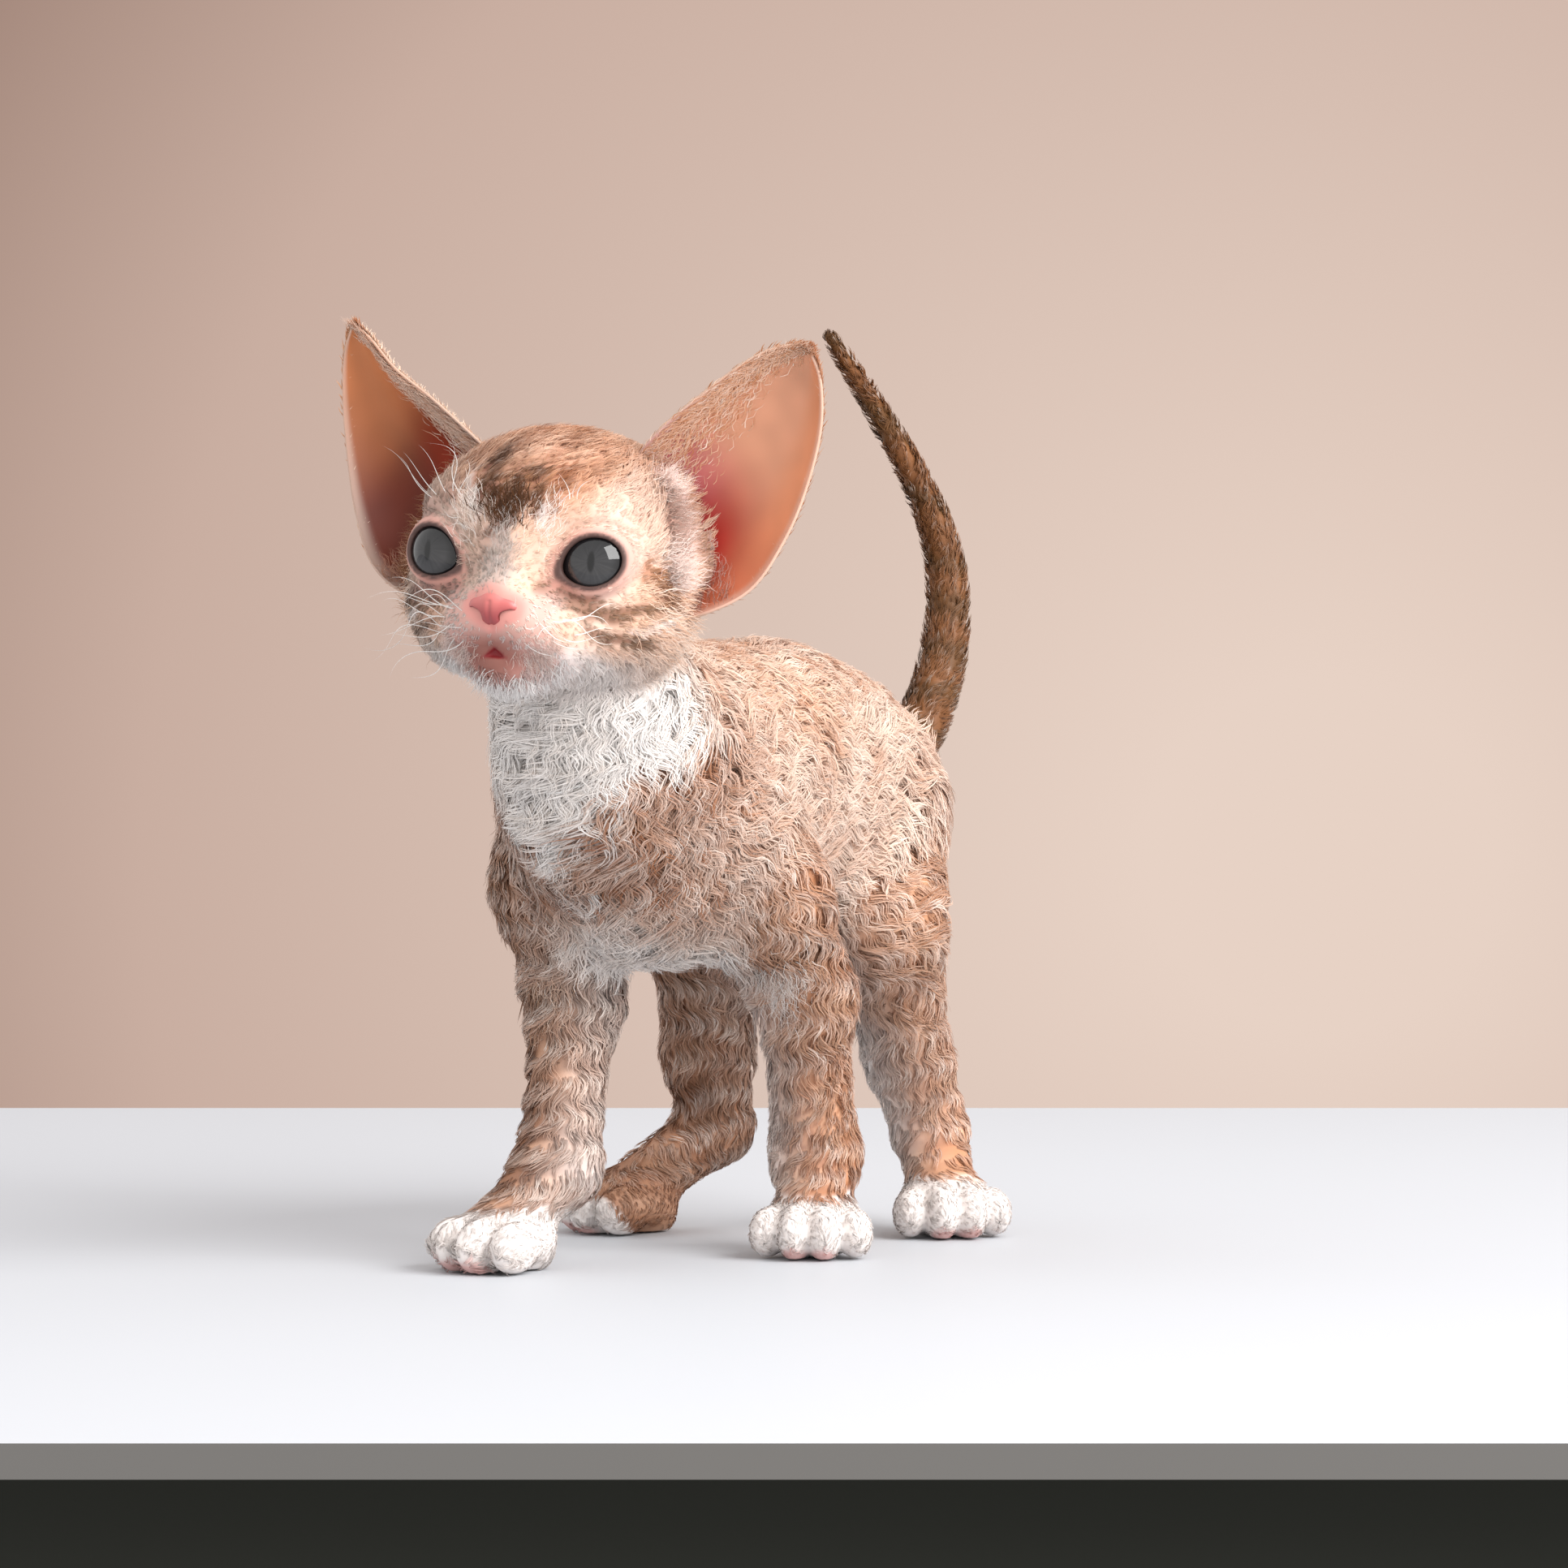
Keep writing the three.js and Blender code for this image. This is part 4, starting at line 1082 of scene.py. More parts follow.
def coat_plan(p, v, q, head):
    """Length, height, bend, wave, width, spread and softness of the locks rooted at p, and how deep their
    waves are in relief and in painted light and shade.
    """
    _, y, z = p.T
    chest = falling(y, -46, -20) * rising(z, 52, 60)
    belly = falling(z, 56, 66)
    back = rising(z, 92, 106)
    plan = dict(
        length=8.2 + 3.6 * chest - 1.4 * back,
        rise=2.6 + 0.4 * chest - 0.5 * back + 0.3 * belly,
        bend=0.85 + 0.15 * chest - 0.1 * back,
        wave=6.4 + 1.0 * chest - 0.6 * back,
        width=np.full(len(p), 0.32),
        spread=1.5 + 0.1 * chest,
        contrast=0.34 + 0.2 * chest - 0.08 * back,
        stray=1.1 + 0.3 * chest,
    )
    for name in LEGS:
        near = rising(v["trunk"] - v[name], -1, 6)
        down = rising(z, 14, 62)
        toward(
            plan, near, length=4.6 + 2.8 * down, rise=0.8 + 1.3 * down, bend=0.5 + 0.35 * down,
            wave=4.6 + 1.2 * down, width=0.28 + 0.04 * down, spread=0.9 + 0.4 * down,
            contrast=0.62 + 0.12 * down, stray=0.5,
        )
        foot = near * falling(z, 9, 13.5)
        toward(plan, foot, length=1.7, rise=0.5, bend=0.25, width=0.24, spread=0.55, contrast=0)
    tail = rising(past_rump(v), -1.5, 2)
    faint = 0.1 * plan["contrast"]
    toward(plan, tail, length=3.0, rise=1.15, bend=0.35, width=0.24, spread=0.7, contrast=faint)
    _, fy, fz = q.T
    front = rising(-fy, 6, 16)
    jaw = falling(fz, -20, -13)
    crown = rising(fz, 6, 14)
    face = dict(
        length=3.6 - 1.7 * front + 1.6 * crown * (1 - 0.3 * front) + 1.5 * jaw,
        rise=1.25 - 0.65 * front + 0.7 * crown + 0.6 * jaw,
        bend=0.42 + 0.3 * jaw + 0.25 * crown,
        wave=5,
        width=0.175,
        spread=0.6 + 0.3 * jaw,
        contrast=0,
    )
    near_mouth = rising(-fy, 15, 19) * falling(fz, -6, -2) * rising(fz, -20, -17)
    toward(face, near_mouth, length=1.2, rise=0.4)
    for s in SIDES:
        gap, ahead = lid_gap(q, s)
        toward(face, falling(gap, 0.5, 5) * (ahead > 0), length=1.5, rise=0.45)
    toward(plan, head, **face)
    return plan


def scatter(points, quads, want, seed, keep):
    """Places spread evenly over the skin, about one per square millimetre times want, where keep says."""
    a, b, c, d = (points[quads[:, n]] for n in range(4))
    area = 0.5 * np.linalg.norm(np.cross(c - a, d - b), axis=1)
    middle_point = (a + b + c + d) / 4
    chance = want * area * keep(middle_point)
    draw = np.random.default_rng(seed)
    order = np.cumsum(chance)
    picks = np.searchsorted(order, (np.arange(int(order[-1])) + draw.random(int(order[-1]))))
    picks = picks[picks < len(quads)]
    u, w = draw.random((2, len(picks), 1))
    top = a[picks] + u * (b[picks] - a[picks])
    low = d[picks] + u * (c[picks] - d[picks])
    return (top + w * (low - top)).astype(REAL)


def ribbon_faces(steps, count):
    """Triangles of tapering ribbons, each with two points a step and one at its tip."""
    strip = []
    for k in range(steps - 1):
        a = 2 * k
        strip += [(a, a + 3, a + 1), (a, a + 2, a + 3)]
    strip.append((2 * steps - 2, 2 * steps, 2 * steps - 1))
    return (np.array(strip) + (2 * steps + 1) * np.arange(count)[:, None, None]).reshape(-1, 3)


# Half the size of one strand in the map, where the strand stands upright about the place of its root
PATCH = 0.0015


def grow(roots, strands, steps, seed, unwrap):
    """Strands in locks from roots: points, triangles, colours and the map of where each is rooted."""
    draw = np.random.default_rng(seed)
    roots, normal = to_surface(skin_field, roots)
    tone, _, v, q, head = colours(roots)
    plan = coat_plan(roots, v, q, head)
    count = len(roots)
    scale = draw.normal(1, 0.13, count).clip(0.6, 1.4)
    length = plan["length"] * scale
    phase = 2.6 * noise(roots, 11, 81) + 0.5 * draw.normal(size=count)
    swirl = 0.55 * noise(roots, 16, 82) + 0.18 * draw.normal(size=count)
    stray = plan["stray"] * draw.normal(size=count)
    centres, normals, crests = [], [], []
    p = roots.copy()
    wave_now = crest_phase(p, v) + stray
    for k in range(steps + 1):
        t = k / steps
        if k:
            v_now = parts(p)
            q_now = in_head(p)
            head_now = head_share(v_now)
            lie = lie_at(p, v_now, q_now, head_now)
            lie = unit(lie - (lie * normal).sum(-1, keepdims=True) * normal)
            aside = np.cross(normal, lie)
            run = length * (t - 0.5 / steps)
            wave_now = crest_phase(p, v_now) + stray
            turn_now = mix(wave_now[:, None], (TURN * run / plan["wave"] + phase)[:, None], head)[:, 0]
            angle = swirl + plan["bend"] * np.cos(turn_now)
            way = np.cos(angle)[:, None] * lie + np.sin(angle)[:, None] * aside
            p = p + way * (length / steps)[:, None]
        height = plan["rise"] * (1 - (1 - t) ** 2.2) - 0.25 - 0.25 * plan["rise"] * max(0, t - 0.7)
        height = height + 0.3 * plan["contrast"] * np.sin(wave_now) * min(1, 3 * t)
        value, slope = slope_at(skin_field, p)
        move = (height - value) / np.maximum((slope * slope).sum(-1), 0.3)
        p = p + slope * np.clip(move, -2.5, 2.5)[:, None]
        normal = unit(slope)
        centres.append(p)
        normals.append(normal)
        crests.append(0.5 + 0.5 * np.sin(wave_now))
    centres, normals, crests = np.stack(centres, 1), np.stack(normals, 1), np.stack(crests, 1)[..., None]
    ways = unit(np.gradient(centres, axis=1))
    sides = unit(np.cross(normals, ways))
    every = (count, strands)
    u = draw.normal(0, 0.5, every) * plan["spread"][:, None]
    w = draw.normal(0, 0.5, every) * plan["spread"][:, None]
    reach = draw.uniform(0.68, 1.08, every)
    lift = draw.normal(0, 0.16, every) * plan["rise"][:, None]
    curl = draw.uniform(0, TURN, every)
    roll = draw.normal(0, 0.5, every)
    width = plan["width"][:, None] * draw.uniform(0.7, 1.25, every)
    bright = draw.normal(1, 0.07, every) * draw.normal(1, 0.05, (count, 1))
    contrast = plan["contrast"][:, None, None]
    on_tail = past_rump(v) > 0
    on_leg = plan["stray"] < 0.65
    frosted = (0.31 - 0.21 * head - 0.22 * on_leg) * np.where(on_tail, 0.2, 1)
    frosted = frosted[:, None] + 0.2 * draw.normal(size=(count, 1)) + 0.1 * draw.normal(size=every)
    frosted = frosted.clip(0, 0.85)
    per = 2 * steps + 1
    points, tones, facing = np.empty((3, *every, per, 3), REAL)
    maps = np.empty((*every, per, 2), REAL)
    home = unwrap(roots)[:, None, :]
    for k in range(steps + 1):
        t = k / steps
        place = np.minimum(t * reach * steps, steps - 1e-3)
        i = place.astype(int)
        part = (place - i)[..., None]
        row = np.arange(count)[:, None]

        def between(values):
            return values[row, i] * (1 - part) + values[row, i + 1] * part

        c, n, side, way = between(centres), between(normals), between(sides), between(ways)
        pull = 1 - 0.5 * t**1.1
        middle_of = c + side * (u * pull)[..., None] + way * (w * (1 - 0.4 * t))[..., None]
        middle_of = middle_of + n * (lift * t)[..., None]
        middle_of = middle_of + side * (0.22 * plan["spread"][:, None] * np.sin(5 * t + curl) * t)[..., None]
        # painted shade darkening each strand towards its root, times each strand's own brightness
        light = (1 - 0.10 * (1 - t) ** 2) * bright
        crest = between(crests)
        # painted shade in the troughs of the waves and painted light on their crests, over the coat's own
        # pale tips
        colour = tone[:, None, :] * light[..., None] * (1 - 0.25 * contrast * (1 - crest))
        pale_tips_and_crest_light = frosted[..., None] * (0.7 * float(rising(t, 0.4, 1.0)) + contrast * crest * min(1, 2.5 * t))
        pale_tips_and_crest_light = np.clip(pale_tips_and_crest_light + 0.4 * contrast * crest**2 * min(1, 3 * t), 0, 0.85)
        colour = colour + (vec(0.89, 0.80, 0.73) - colour) * pale_tips_and_crest_light
        if k == steps:
            points[:, :, 2 * k], tones[:, :, 2 * k] = middle_of, colour
            facing[:, :, 2 * k] = unit(n + 0.25 * way)
            maps[:, :, 2 * k] = home + vec(0, PATCH)
            continue
        flat = side * np.cos(roll)[..., None] + n * np.sin(roll)[..., None]
        facing[:, :, 2 * k] = unit(n - 0.35 * flat + 0.25 * way)
        facing[:, :, 2 * k + 1] = unit(n + 0.35 * flat + 0.25 * way)
        half = flat * (width * (1 - t**2.4) * (0.75 + 0.25 * min(1, 4 * t)) / 2)[..., None]
        points[:, :, 2 * k], points[:, :, 2 * k + 1] = middle_of - half, middle_of + half
        tones[:, :, 2 * k] = tones[:, :, 2 * k + 1] = colour
        maps[:, :, 2 * k] = home + vec(-PATCH, (2 * t - 1) * PATCH)
        maps[:, :, 2 * k + 1] = home + vec(PATCH, (2 * t - 1) * PATCH)
    faces = ribbon_faces(steps, count * strands)
    points, tones, facing = (rows.reshape(-1, 3) for rows in (points, clamp(tones), facing))
    return points, faces, tones, maps.reshape(-1, 2), facing


def round_axis(start, end):
    """An unwrap of the skin round an axis: the turn about it and the place along it."""
    a, b = vec(*start), vec(*end)
    way = unit(b - a)
    first = unit(vec(1, 0, 0) - way * way[0])
    second = np.cross(way, first)
    reach = float(np.linalg.norm(b - a))

    def unwrap(p):
        d = p - a
        turn = np.arctan2(d @ second, d @ first) / TURN + 0.5
        return np.stack([0.01 + 0.98 * turn, 0.01 + 0.98 * clamp((d @ way) / reach)], -1)

    return unwrap


def nearest_part(p):
    """Which part of the body a place on the skin belongs to."""
    v = parts(p)
    return np.array(list(v))[np.argmin(np.stack(list(v.values())), 0)]


quad_middle = skin_points[skin_quads].mean(1)
quad_part = evaluate(nearest_part, quad_middle, 100000)
MOST = 195000


def clear_of_eyes(p):
    q = in_head(p)
    keep = np.ones(len(p))
    for s in SIDES:
        gap, ahead = lid_gap(q, s)
        keep *= np.where((ahead > -1) & (q[:, 1] < -6), rising(gap, 1.0, 1.8), 1)
    keep *= rising(nose_form(q), 0.35, 1.1)
    keep *= np.where(q[:, 1] < -8, rising(mouth_gap(q), 0.9, 2.0), 1)
    keep *= np.where(q[:, 1] < -8, 0.1 + 0.9 * rising(nearest(lip_bars, q), 0.5, 1.2), 1)
    keep *= 1 - 0.9 * bare_mouth(q)
    return keep


def above_floor(p):
    return rising(p[:, 2], 0.7, 1.6)


def coat_piece(name, slot, chosen, want, strands, steps, seed, unwrap, keep=above_floor):
    """One stretch of coat, parted into pieces of an allowed size."""
    quads = skin_quads[chosen]
    roots = scatter(skin_points, quads, want, seed, keep)
    np.random.default_rng(seed).shuffle(roots)
    each = strands * (2 * (steps - 1) + 1)
    needed = max(1, math.ceil(len(roots) * each / MOST))
    for n in range(needed):
        points, faces, tones, maps, facing = grow(roots[n::needed], strands, steps, seed + 1 + n, unwrap)
        piece = build(f"{name}_{n + 1}", points, faces, tones, maps)
        piece.data.normals_split_custom_set_from_vertices(facing)
        finish_piece(piece, coat_material, slot)


is_trunk = quad_part == "trunk"
is_chest = (quad_part == "neck") | (is_trunk & (quad_middle[:, 1] < -35))
up_chest = round_axis((-9, -30, 50), (-9, -55, 130))
coat_piece("coat_chest", "coat_white", is_chest, 0.40, 10, 7, 100, up_chest)
along_body = round_axis((-9, -60, 84), (-9, 80, 84))
coat_piece("coat_body", "coat_red", is_trunk & ~is_chest, 0.35, 9, 5, 200, along_body)
for order, (name, leg) in enumerate(LEGS.items()):
    on_leg = quad_part == name
    on_paw = on_leg & (quad_middle[:, 2] < 12)
    unwrap = round_axis(leg["paw"], leg["joints"][0])
    coat_piece(f"coat_{name}", "coat_red", on_leg & ~on_paw, 0.505, 6, 5, 300 + 20 * order, unwrap)
    coat_piece(f"coat_{name}_paw", "coat_white", on_paw, 1.3, 4, 3, 310 + 20 * order, unwrap)
up_tail = round_axis((-9, 58, 88), (-14, 43, 172))
coat_piece("coat_tail", "coat_red", quad_part == "tail", 0.95, 5, 4, 400, up_tail)
up_head = round_axis((-9.5, -63, 100), (-9.5, -63, 152))
coat_piece("coat_head", "coat_red", quad_part == "head", 1.35, 5, 3, 500, up_head, clear_of_eyes)


# Single hairs: on the ears, whiskers, brows and curls
ROOT_DEPTH = 0.3


def hairs(name, slot, roots, ways, normals, lengths, widths, tones, steps, seed, bend=0.5, wave=5.0, droop=0):
    """Flat tapering hairs that leave roots along ways and curl, all in the head's layout."""
    draw = np.random.default_rng(seed)
    count = len(roots)
    per = 2 * steps + 1
    points, facing = np.empty((2, count, per, 3))
    maps = np.empty((count, per, 2))
    colour = np.empty((count, per, 3))
    phase = draw.uniform(0, TURN, count)
    bends = bend * draw.uniform(0.4, 1.3, count)
    p = roots - normals * ROOT_DEPTH
    way, normal = unit(ways), unit(normals)
    side = unit(np.cross(normal, way))
    longest = np.abs(roots).max() + 1
    home = 0.5 + 0.48 * roots[:, [0, 2]] / longest
    for k in range(steps + 1):
        t = k / steps
        if k:
            angle = bends * np.sin(TURN * lengths * t / wave + phase)
            lift = 0.5 * bends * np.cos(TURN * lengths * t / wave + 1.7 * phase)
            turn = unit(way + np.tan(np.clip(angle, -1.2, 1.2))[:, None] * side + lift[:, None] * normal)
            turn = unit(turn + droop * t * vec(0, 0, -1))
            p = p + turn * (lengths / steps)[:, None]
        # painted shade darkening each hair towards its root
        light = (0.92 + 0.08 * t) * tones
        colour[:, 2 * k] = light
        if k == steps:
            points[:, 2 * k] = p
            facing[:, 2 * k] = normal
            maps[:, 2 * k] = home + (0, PATCH)
            continue
        half = side * (widths * (1 - t**2) / 2)[:, None]
        points[:, 2 * k], points[:, 2 * k + 1] = p - half, p + half
        facing[:, 2 * k] = facing[:, 2 * k + 1] = unit(normal + 0.2 * way)
        colour[:, 2 * k + 1] = light
        maps[:, 2 * k] = home + (-PATCH, (2 * t - 1) * PATCH)
        maps[:, 2 * k + 1] = home + (PATCH, (2 * t - 1) * PATCH)
    faces = ribbon_faces(steps, count)
    colour = clamp(colour).reshape(-1, 3)
    piece = build(name, from_head(points.reshape(-1, 3)), faces, colour, maps.reshape(-1, 2))
    piece.data.normals_split_custom_set_from_vertices((facing.reshape(-1, 3) @ HEAD_TURN.T).astype(REAL))
    finish_piece(piece, coat_material, slot)


# Half the thickness of an ear where its hair is rooted
EAR_HALF = 0.5


def dress_ear(side, word, seed):
    draw = np.random.default_rng(seed)
    near_side = side > 0

    def tone(base, other, spread=0.3):
        return mix(base, other, clamp(0.4 + spread * draw.normal(size=count)))

    def astray(share):
        return share * draw.normal(size=(count, 1))

    def grown(stretch, *plan, **curl):
        hairs(f"ear_{word}_{stretch}", *plan, **curl)

    # short hair over the back
    count = 4800
    s, t = draw.uniform(0.01, 0.99, count), draw.uniform(0.0, 0.97, count) ** 0.85
    at, out, rise, over = ear_frame(side, s, t)
    ways = rise + 0.25 * out + astray(0.25) * over
    length, width = draw.uniform(1.6, 3.0, count), draw.uniform(0.26, 0.42, count)
    colour = tone(PEACH, ORANGE)
    at = at + EAR_HALF * out
    grown("back_coat", "coat_red", at, ways, out, length, width, colour, 3, seed + 1, bend=0.3)
    # the furred band inside along the inner edge, widest near the head and round the tip
    count = 3400
    t = draw.uniform(0.0, 0.97, count)
    reach = (0.30 if near_side else 0.22) - 0.12 * t + 0.35 * rising(t, 0.78, 1.0)
    s = np.abs(draw.normal(0, 0.5, count)).clip(0, 1.4) * reach
    at, out, rise, over = ear_frame(side, s, t)
    edge = rising(-s, -0.10, 0)[:, None]
    ways = rise - 0.35 * over * edge + 0.35 * over * (1 - edge) - 0.22 * out + astray(0.3) * over
    tawny = tone(PEACH, ORANGE)
    pale = mix(CREAM, tawny, clamp(draw.normal(0.75 if near_side else 0.4, 0.3, count)))
    length, width = draw.uniform(2.0, 5.0, count), draw.uniform(0.14, 0.24, count)
    at = at - EAR_HALF * out
    grown("inner_coat", "coat_red", at, ways, -out, length, width, pale, 4, seed + 2, bend=0.55, wave=4.5)
    # a fine pale fringe round both edges
    count = 2800
    s = np.where(draw.random(count) < 0.5, draw.uniform(0.97, 1.0, count), draw.uniform(0.0, 0.03, count))
    t = draw.uniform(0.0, 0.985, count)
    at, out, rise, over = ear_frame(side, s, t)
    away = np.where(s[:, None] > 0.5, 1, -1) * over
    ways = rise + 0.75 * away + astray(0.3) * out
    fringe = tone(shade(252, 236, 216), PEACH, 0.2)
    length = draw.uniform(1.0, 2.2, count) * np.where(s > 0.5, 1, 1.9)
    width = draw.uniform(0.12, 0.2, count)
    grown("fringe", "coat_white", at, ways, -out, length, width, fringe, 3, seed + 3, bend=0.5)
    # longer soft hair and curls at the root, in front and below
    count = 900
    t = draw.uniform(0.0, 0.24, count)
    s = draw.uniform(0.0, 1.0, count) ** 0.8
    at, out, rise, over = ear_frame(side, s, t)
    ways = 0.7 * rise - 1.0 * out + 0.5 * (0.5 - s)[:, None] * over + astray(0.4) * over
    soft, tawny = tone(WHITE, PINK), tone(ORANGE, RUST)
    tuft = mix(soft, tawny, rising(s, 0.55, 0.85) * (0.5 if near_side else 0.8))
    length, width = draw.uniform(3.0, 6.5, count), draw.uniform(0.14, 0.22, count)
    at = at - EAR_HALF * out
    grown("curls", "coat_white", at, ways, -out, length, width, tuft, 6, seed + 4, bend=0.9, wave=4.0)


dress_ear(1, "left", 700)
dress_ear(-1, "right", 720)


def on_head(places):
    """Places on the head's skin under points, and the ways out of it."""
    p = from_head(np.array(places, REAL))
    for _ in range(6):
        p, normal = to_surface(skin_field, p, 1, 3.0)
    return in_head(p), normal @ HEAD_TURN


def whiskers(seed):
    draw = np.random.default_rng(seed)
    roots, ways, lengths = [], [], []
    for side in SIDES:
        for row, z in enumerate((-11.5, -13.2, -14.8) if side < 0 else (-12.6, -14.6)):
            for column in range(5):
                roots.append((side * (5.2 + 1.5 * column), -22.5 + 1.15 * column, z + 0.3 * column))
                upward = 0.15 - 0.3 * row + 0.15 * draw.normal()
                ways.append((side * (1.1 + 0.25 * column), -0.55 + 0.25 * column, upward))
                lengths.append(draw.uniform(9, 21) if side < 0 else draw.uniform(7, 13))
        for n in range(7 if side < 0 else 3):
            roots.append((side * (9.0 + 1.2 * n), -18.5 + 0.5 * n, 8.2 + 0.5 * math.sin(n)))
            ways.append((side * (0.15 + 0.1 * n), -0.35, 1.0))
            lengths.append(draw.uniform(8, 15) if side < 0 else draw.uniform(4, 7))
    at, normal = on_head(roots)
    lengths = np.array(lengths)
    tones = np.tile(shade(250, 246, 242), (len(at), 1)).astype(REAL)
    hairs("whiskers", "coat_white", at, np.array(ways) + 0.4 * normal, normal, lengths,
          draw.uniform(0.15, 0.21, len(at)), tones, 22, seed + 1, bend=0.7, wave=19.0, droop=0.3)


whiskers(760)


def fluff(
    name, centre, spread, count, way, length, tones, seed, slot="coat_white", width=(0.12, 0.2), bend=0.6
):
    """A soft tuft of longer hair on the head about a place."""
    draw = np.random.default_rng(seed)
    at, normal = on_head(np.array(centre) + draw.normal(size=(count, 3)) * np.array(spread))
    ways = np.array(way) + 0.35 * draw.normal(size=(count, 3)) + 0.3 * normal
    base = mix(tones[0], tones[1], draw.random(count))
    lengths, widths = draw.uniform(*length, count), draw.uniform(*width, count)
    hairs(name, slot, at, ways, normal, lengths, widths, base, 5, seed + 1, bend=bend, wave=6.0)


for word, place, other in (("left", (8, -19, 51.5), WHITE), ("right", (-28, -40, 50), PEACH)):
    fluff(
        f"elbow_{word}", in_head(vec(*place)), (2.4, 2.0, 3.6), 650, (0.5, 0.1, -1.0), (3.5, 7),
        (CREAM, other), 770, bend=0.9,
    )
for side, word in BOTH:
    fluff(f"cheek_{word}", (side * 23, -4, -10), (2.5, 3.5, 3.5), 700, (side * 0.5, 0.9, -0.35), (3, 5.5),
          (CREAM, PEACH), 780 + side)
    fluff(f"brow_{word}", (side * 7.0, -20.4, 4.2), (1.7, 0.5, 2.4), 190, (side * 0.4, 0.1, 1.0), (2.5, 4.8),
          (WHITE, CREAM), 790 + side, width=(0.1, 0.15))


def ear_front(count, seed):
    """Pale curls that start on the temple and lie over the root of the left ear."""
    draw = np.random.default_rng(seed)
    edge = np.array([
        (17.0, 0, 14), (18.4, -0.8, 10.5), (19.2, 0, 6.8),
        (20.2, -0.5, 3.4), (22.0, -4.0, 0), (23.4, -4.5, -4),
    ])
    along_edge = draw.uniform(0, len(edge) - 1, count)
    places = np.stack([np.interp(along_edge, np.arange(len(edge)), edge[:, n]) for n in range(3)], -1)
    at, normal = on_head(places + draw.normal(size=(count, 3)))
    ways = vec(0.9, -0.1, 0.25) + 0.35 * draw.normal(size=(count, 3)) + 0.25 * normal
    tones = mix(shade(232, 220, 212), shade(230, 196, 184), draw.random(count))
    lengths, widths = draw.uniform(4, 8.5, count), draw.uniform(0.12, 0.2, count)
    hairs("ear_front_left", "coat_white", at, ways, normal, lengths, widths, tones, 6, seed + 1, bend=0.85)


ear_front(1700, 800)
DARK_BROWN = shade(60, 36, 16)
fluff(
    "brow_marks", (-0.6, -21, 6.8), (2.7, 0.4, 2.2), 420, (-0.1, 0.15, 1.0), (2.5, 4.5),
    (OLIVE, DARK_BROWN), 809, slot="coat_red",
)
MUZZLE_TONES = shade(236, 222, 214), shade(198, 158, 146)
for side, word in BOTH:
    fluff(
        f"muzzle_hair_{word}", (side * 7.0, -21, -16.5), (1.9, 1.0, 2.6), 500, (side * 0.55, 0.4, -0.7),
        (1.6, 3.4), MUZZLE_TONES, 812 + side, width=(0.08, 0.12), bend=0.5,
    )
fluff(
    "ear_front_right", (-22.5, -1.5, 2), (1.0, 2.2, 5.5), 900, (-0.9, -0.4, 0.1), (3, 6),
    (PEACH, TAN), 802, bend=0.9,
)
# pale hair on the nose bridge, greyed as painted shade
BRIDGE_SHADED_TONES = shade(208, 196, 190), shade(166, 150, 142)
fluff("bridge", (0, -23, 0), (1.6, 0.5, 4.0), 420, (0, 0.2, 1.0), (1.5, 3.0), BRIDGE_SHADED_TONES, 795)
fluff("chin_coat", (0, -20, -24), (7, 2.5, 1.5), 700, (0, 0.5, -1.0), (2.5, 4.5), (WHITE, WHITE), 797)

# The camera, the table, the backdrop and the light
EYE_LEVEL = vec(520, -900.7, 105)
AHEAD = vec(-0.5, 0.866, 0)
RIGHT = vec(0.866, 0.5, 0)
UP = vec(0, 0, 1)
# The photo's side, the row of its horizon and the camera's reach, in pixels, and the sensor's width
PHOTO, HORIZON_ROW, FOCAL, SENSOR = 1932, 837, 7000, 36


def real(p):
    return Vector([float(c) for c in (np.asarray(p) + SHIFT) / 1000])


camera = bpy.data.objects.new("camera", bpy.data.cameras.new("camera"))
bpy.context.collection.objects.link(camera)
camera.data.sensor_width = SENSOR
camera.data.lens = FOCAL / PHOTO * SENSOR
camera.data.clip_start = 0.05
pitch = math.atan2(PHOTO / 2 - HORIZON_ROW, FOCAL)
looking = AHEAD * math.cos(pitch) - UP * math.sin(pitch)
camera.location = real(EYE_LEVEL)
camera.rotation_euler = Vector([float(c) for c in looking]).to_track_quat("-Z", "Y").to_euler()
bpy.context.scene.camera = camera

# The table's half width, thickness and depth, and how far behind the kitten's origin it ends
HALF_TABLE, TABLE_THICK, TABLE_DEPTH, TABLE_END = 3000, 5, 611, 350
table_middle = AHEAD * (TABLE_END - TABLE_DEPTH / 2)
box_faces = np.array([(3, 2, 1, 0), (4, 5, 6, 7), (0, 1, 5, 4), (1, 2, 6, 5), (2, 3, 7, 6), (3, 0, 4, 7)])


def slab(name, at, half_wide, half_deep, low, high, material):
    corners = [
        at + a * RIGHT * half_wide + b * AHEAD * half_deep + UP * c
        for c in (low, high) for a, b in ((-1, -1), (1, -1), (1, 1), (-1, 1))
    ]
    piece = build(name, np.array(corners), box_faces, smooth=False)
    piece.data.materials.append(material)
    piece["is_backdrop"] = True
    return piece


top_material = plain_material("table_top", shade(187, 190, 195), 0.5, 0.2)
edge_material = plain_material("table_edge", shade(92, 90, 88), 0.6, 0.2)
under_material = plain_material("under_table", shade(36, 37, 33), 0.8, 0.1)
table = slab("table", table_middle, HALF_TABLE, TABLE_DEPTH / 2, -TABLE_THICK, 0, top_material)
table.data.materials.append(edge_material)
table.data.polygons[2].material_index = 1
INSET, GAP = 12, 0.5
under_middle, under_half = table_middle + AHEAD * INSET, TABLE_DEPTH / 2 - INSET
slab("under", under_middle, HALF_TABLE, under_half, -500, -TABLE_THICK - GAP, under_material)
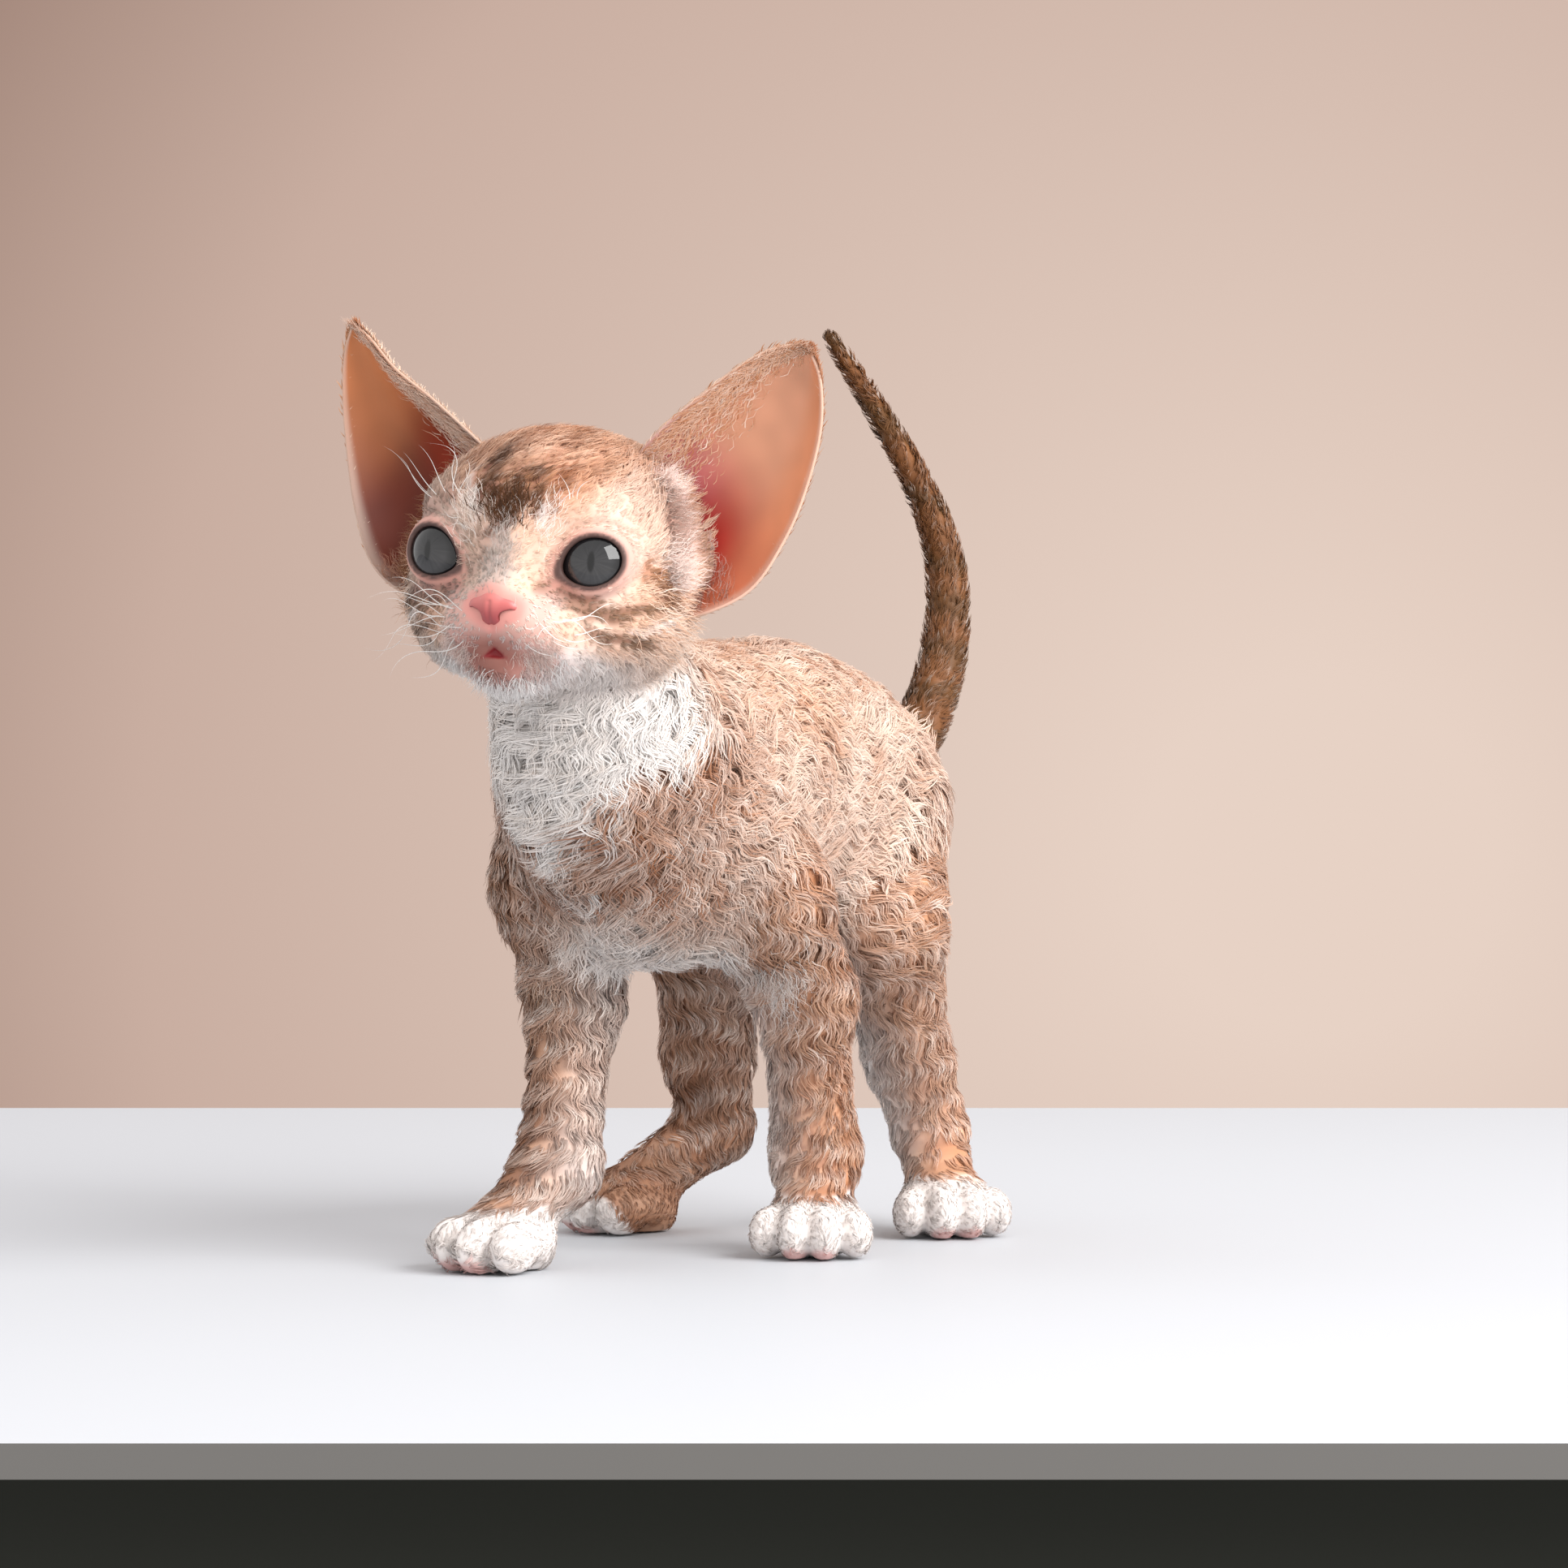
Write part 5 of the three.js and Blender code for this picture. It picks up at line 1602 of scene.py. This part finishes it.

# A paper backdrop well behind the table that glows instead of being lit: painted light, brightest right of
# its middle and a little darker at its upper left and its corners as painted shade
BACKDROP_AWAY = 1700
paper, nodes, links = new_material("backdrop_paper_painted_light")
nodes.remove(nodes["Principled BSDF"])
glow = nodes.new("ShaderNodeEmission")
glow.inputs["Strength"].default_value = 1.0
place = nodes.new("ShaderNodeTexCoord")
shift = nodes.new("ShaderNodeMapping")
ball = nodes.new("ShaderNodeTexGradient")
ball.gradient_type = "SPHERICAL"
ramp = nodes.new("ShaderNodeValToRGB")
links.new(place.outputs["Object"], shift.inputs["Vector"])
links.new(shift.outputs["Vector"], ball.inputs["Vector"])
links.new(ball.outputs["Fac"], ramp.inputs["Fac"])
links.new(ramp.outputs["Color"], glow.inputs["Color"])
links.new(glow.outputs["Emission"], nodes["Material Output"].inputs["Surface"])
brightest = real(AHEAD * BACKDROP_AWAY + RIGHT * 260 + UP * 20)
shift.vector_type = "TEXTURE"
shift.inputs["Location"].default_value = brightest
shift.inputs["Scale"].default_value = (0.85, 0.85, 0.85)
# the glow's painted light and shade, from the far corners to the brightest place
painted_light_stops = [(0.05, shade(156, 128, 116)), (0.33, shade(201, 174, 161)), (0.9, shade(231, 210, 197))]
ramp.color_ramp.elements.new(0.33)
for element, (position, colour) in zip(ramp.color_ramp.elements, painted_light_stops):
    element.position = position
    element.color = opaque(colour)
slab("backdrop", AHEAD * (BACKDROP_AWAY + 10), 1500, 10, -900, 1500, paper)

world = bpy.data.worlds.new("room")
world.use_nodes = True
ground = world.node_tree.nodes["Background"]
ground.inputs["Color"].default_value = (1.0, 0.985, 0.975, 1)
ground.inputs["Strength"].default_value = 1.25
bpy.context.scene.world = world
bpy.context.scene.view_settings.view_transform = "Standard"


FOCUS = vec(-8, -20, 90)
lamp = bpy.data.lights.new("window", "AREA")
lamp.shape = "RECTANGLE"
lamp.size, lamp.size_y = 1.2, 0.95
lamp.energy = 34
lamp.color = (1.0, 0.99, 0.98)
window = bpy.data.objects.new("window", lamp)
bpy.context.collection.objects.link(window)
window.location = real(FOCUS + RIGHT * 930 - AHEAD * 760 + UP * 720)
window.rotation_euler = (real(FOCUS) - window.location).to_track_quat("-Z", "Y").to_euler()

boxes = [[[float(c) for c in corner] for corner in box] for box in (cad_box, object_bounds())]
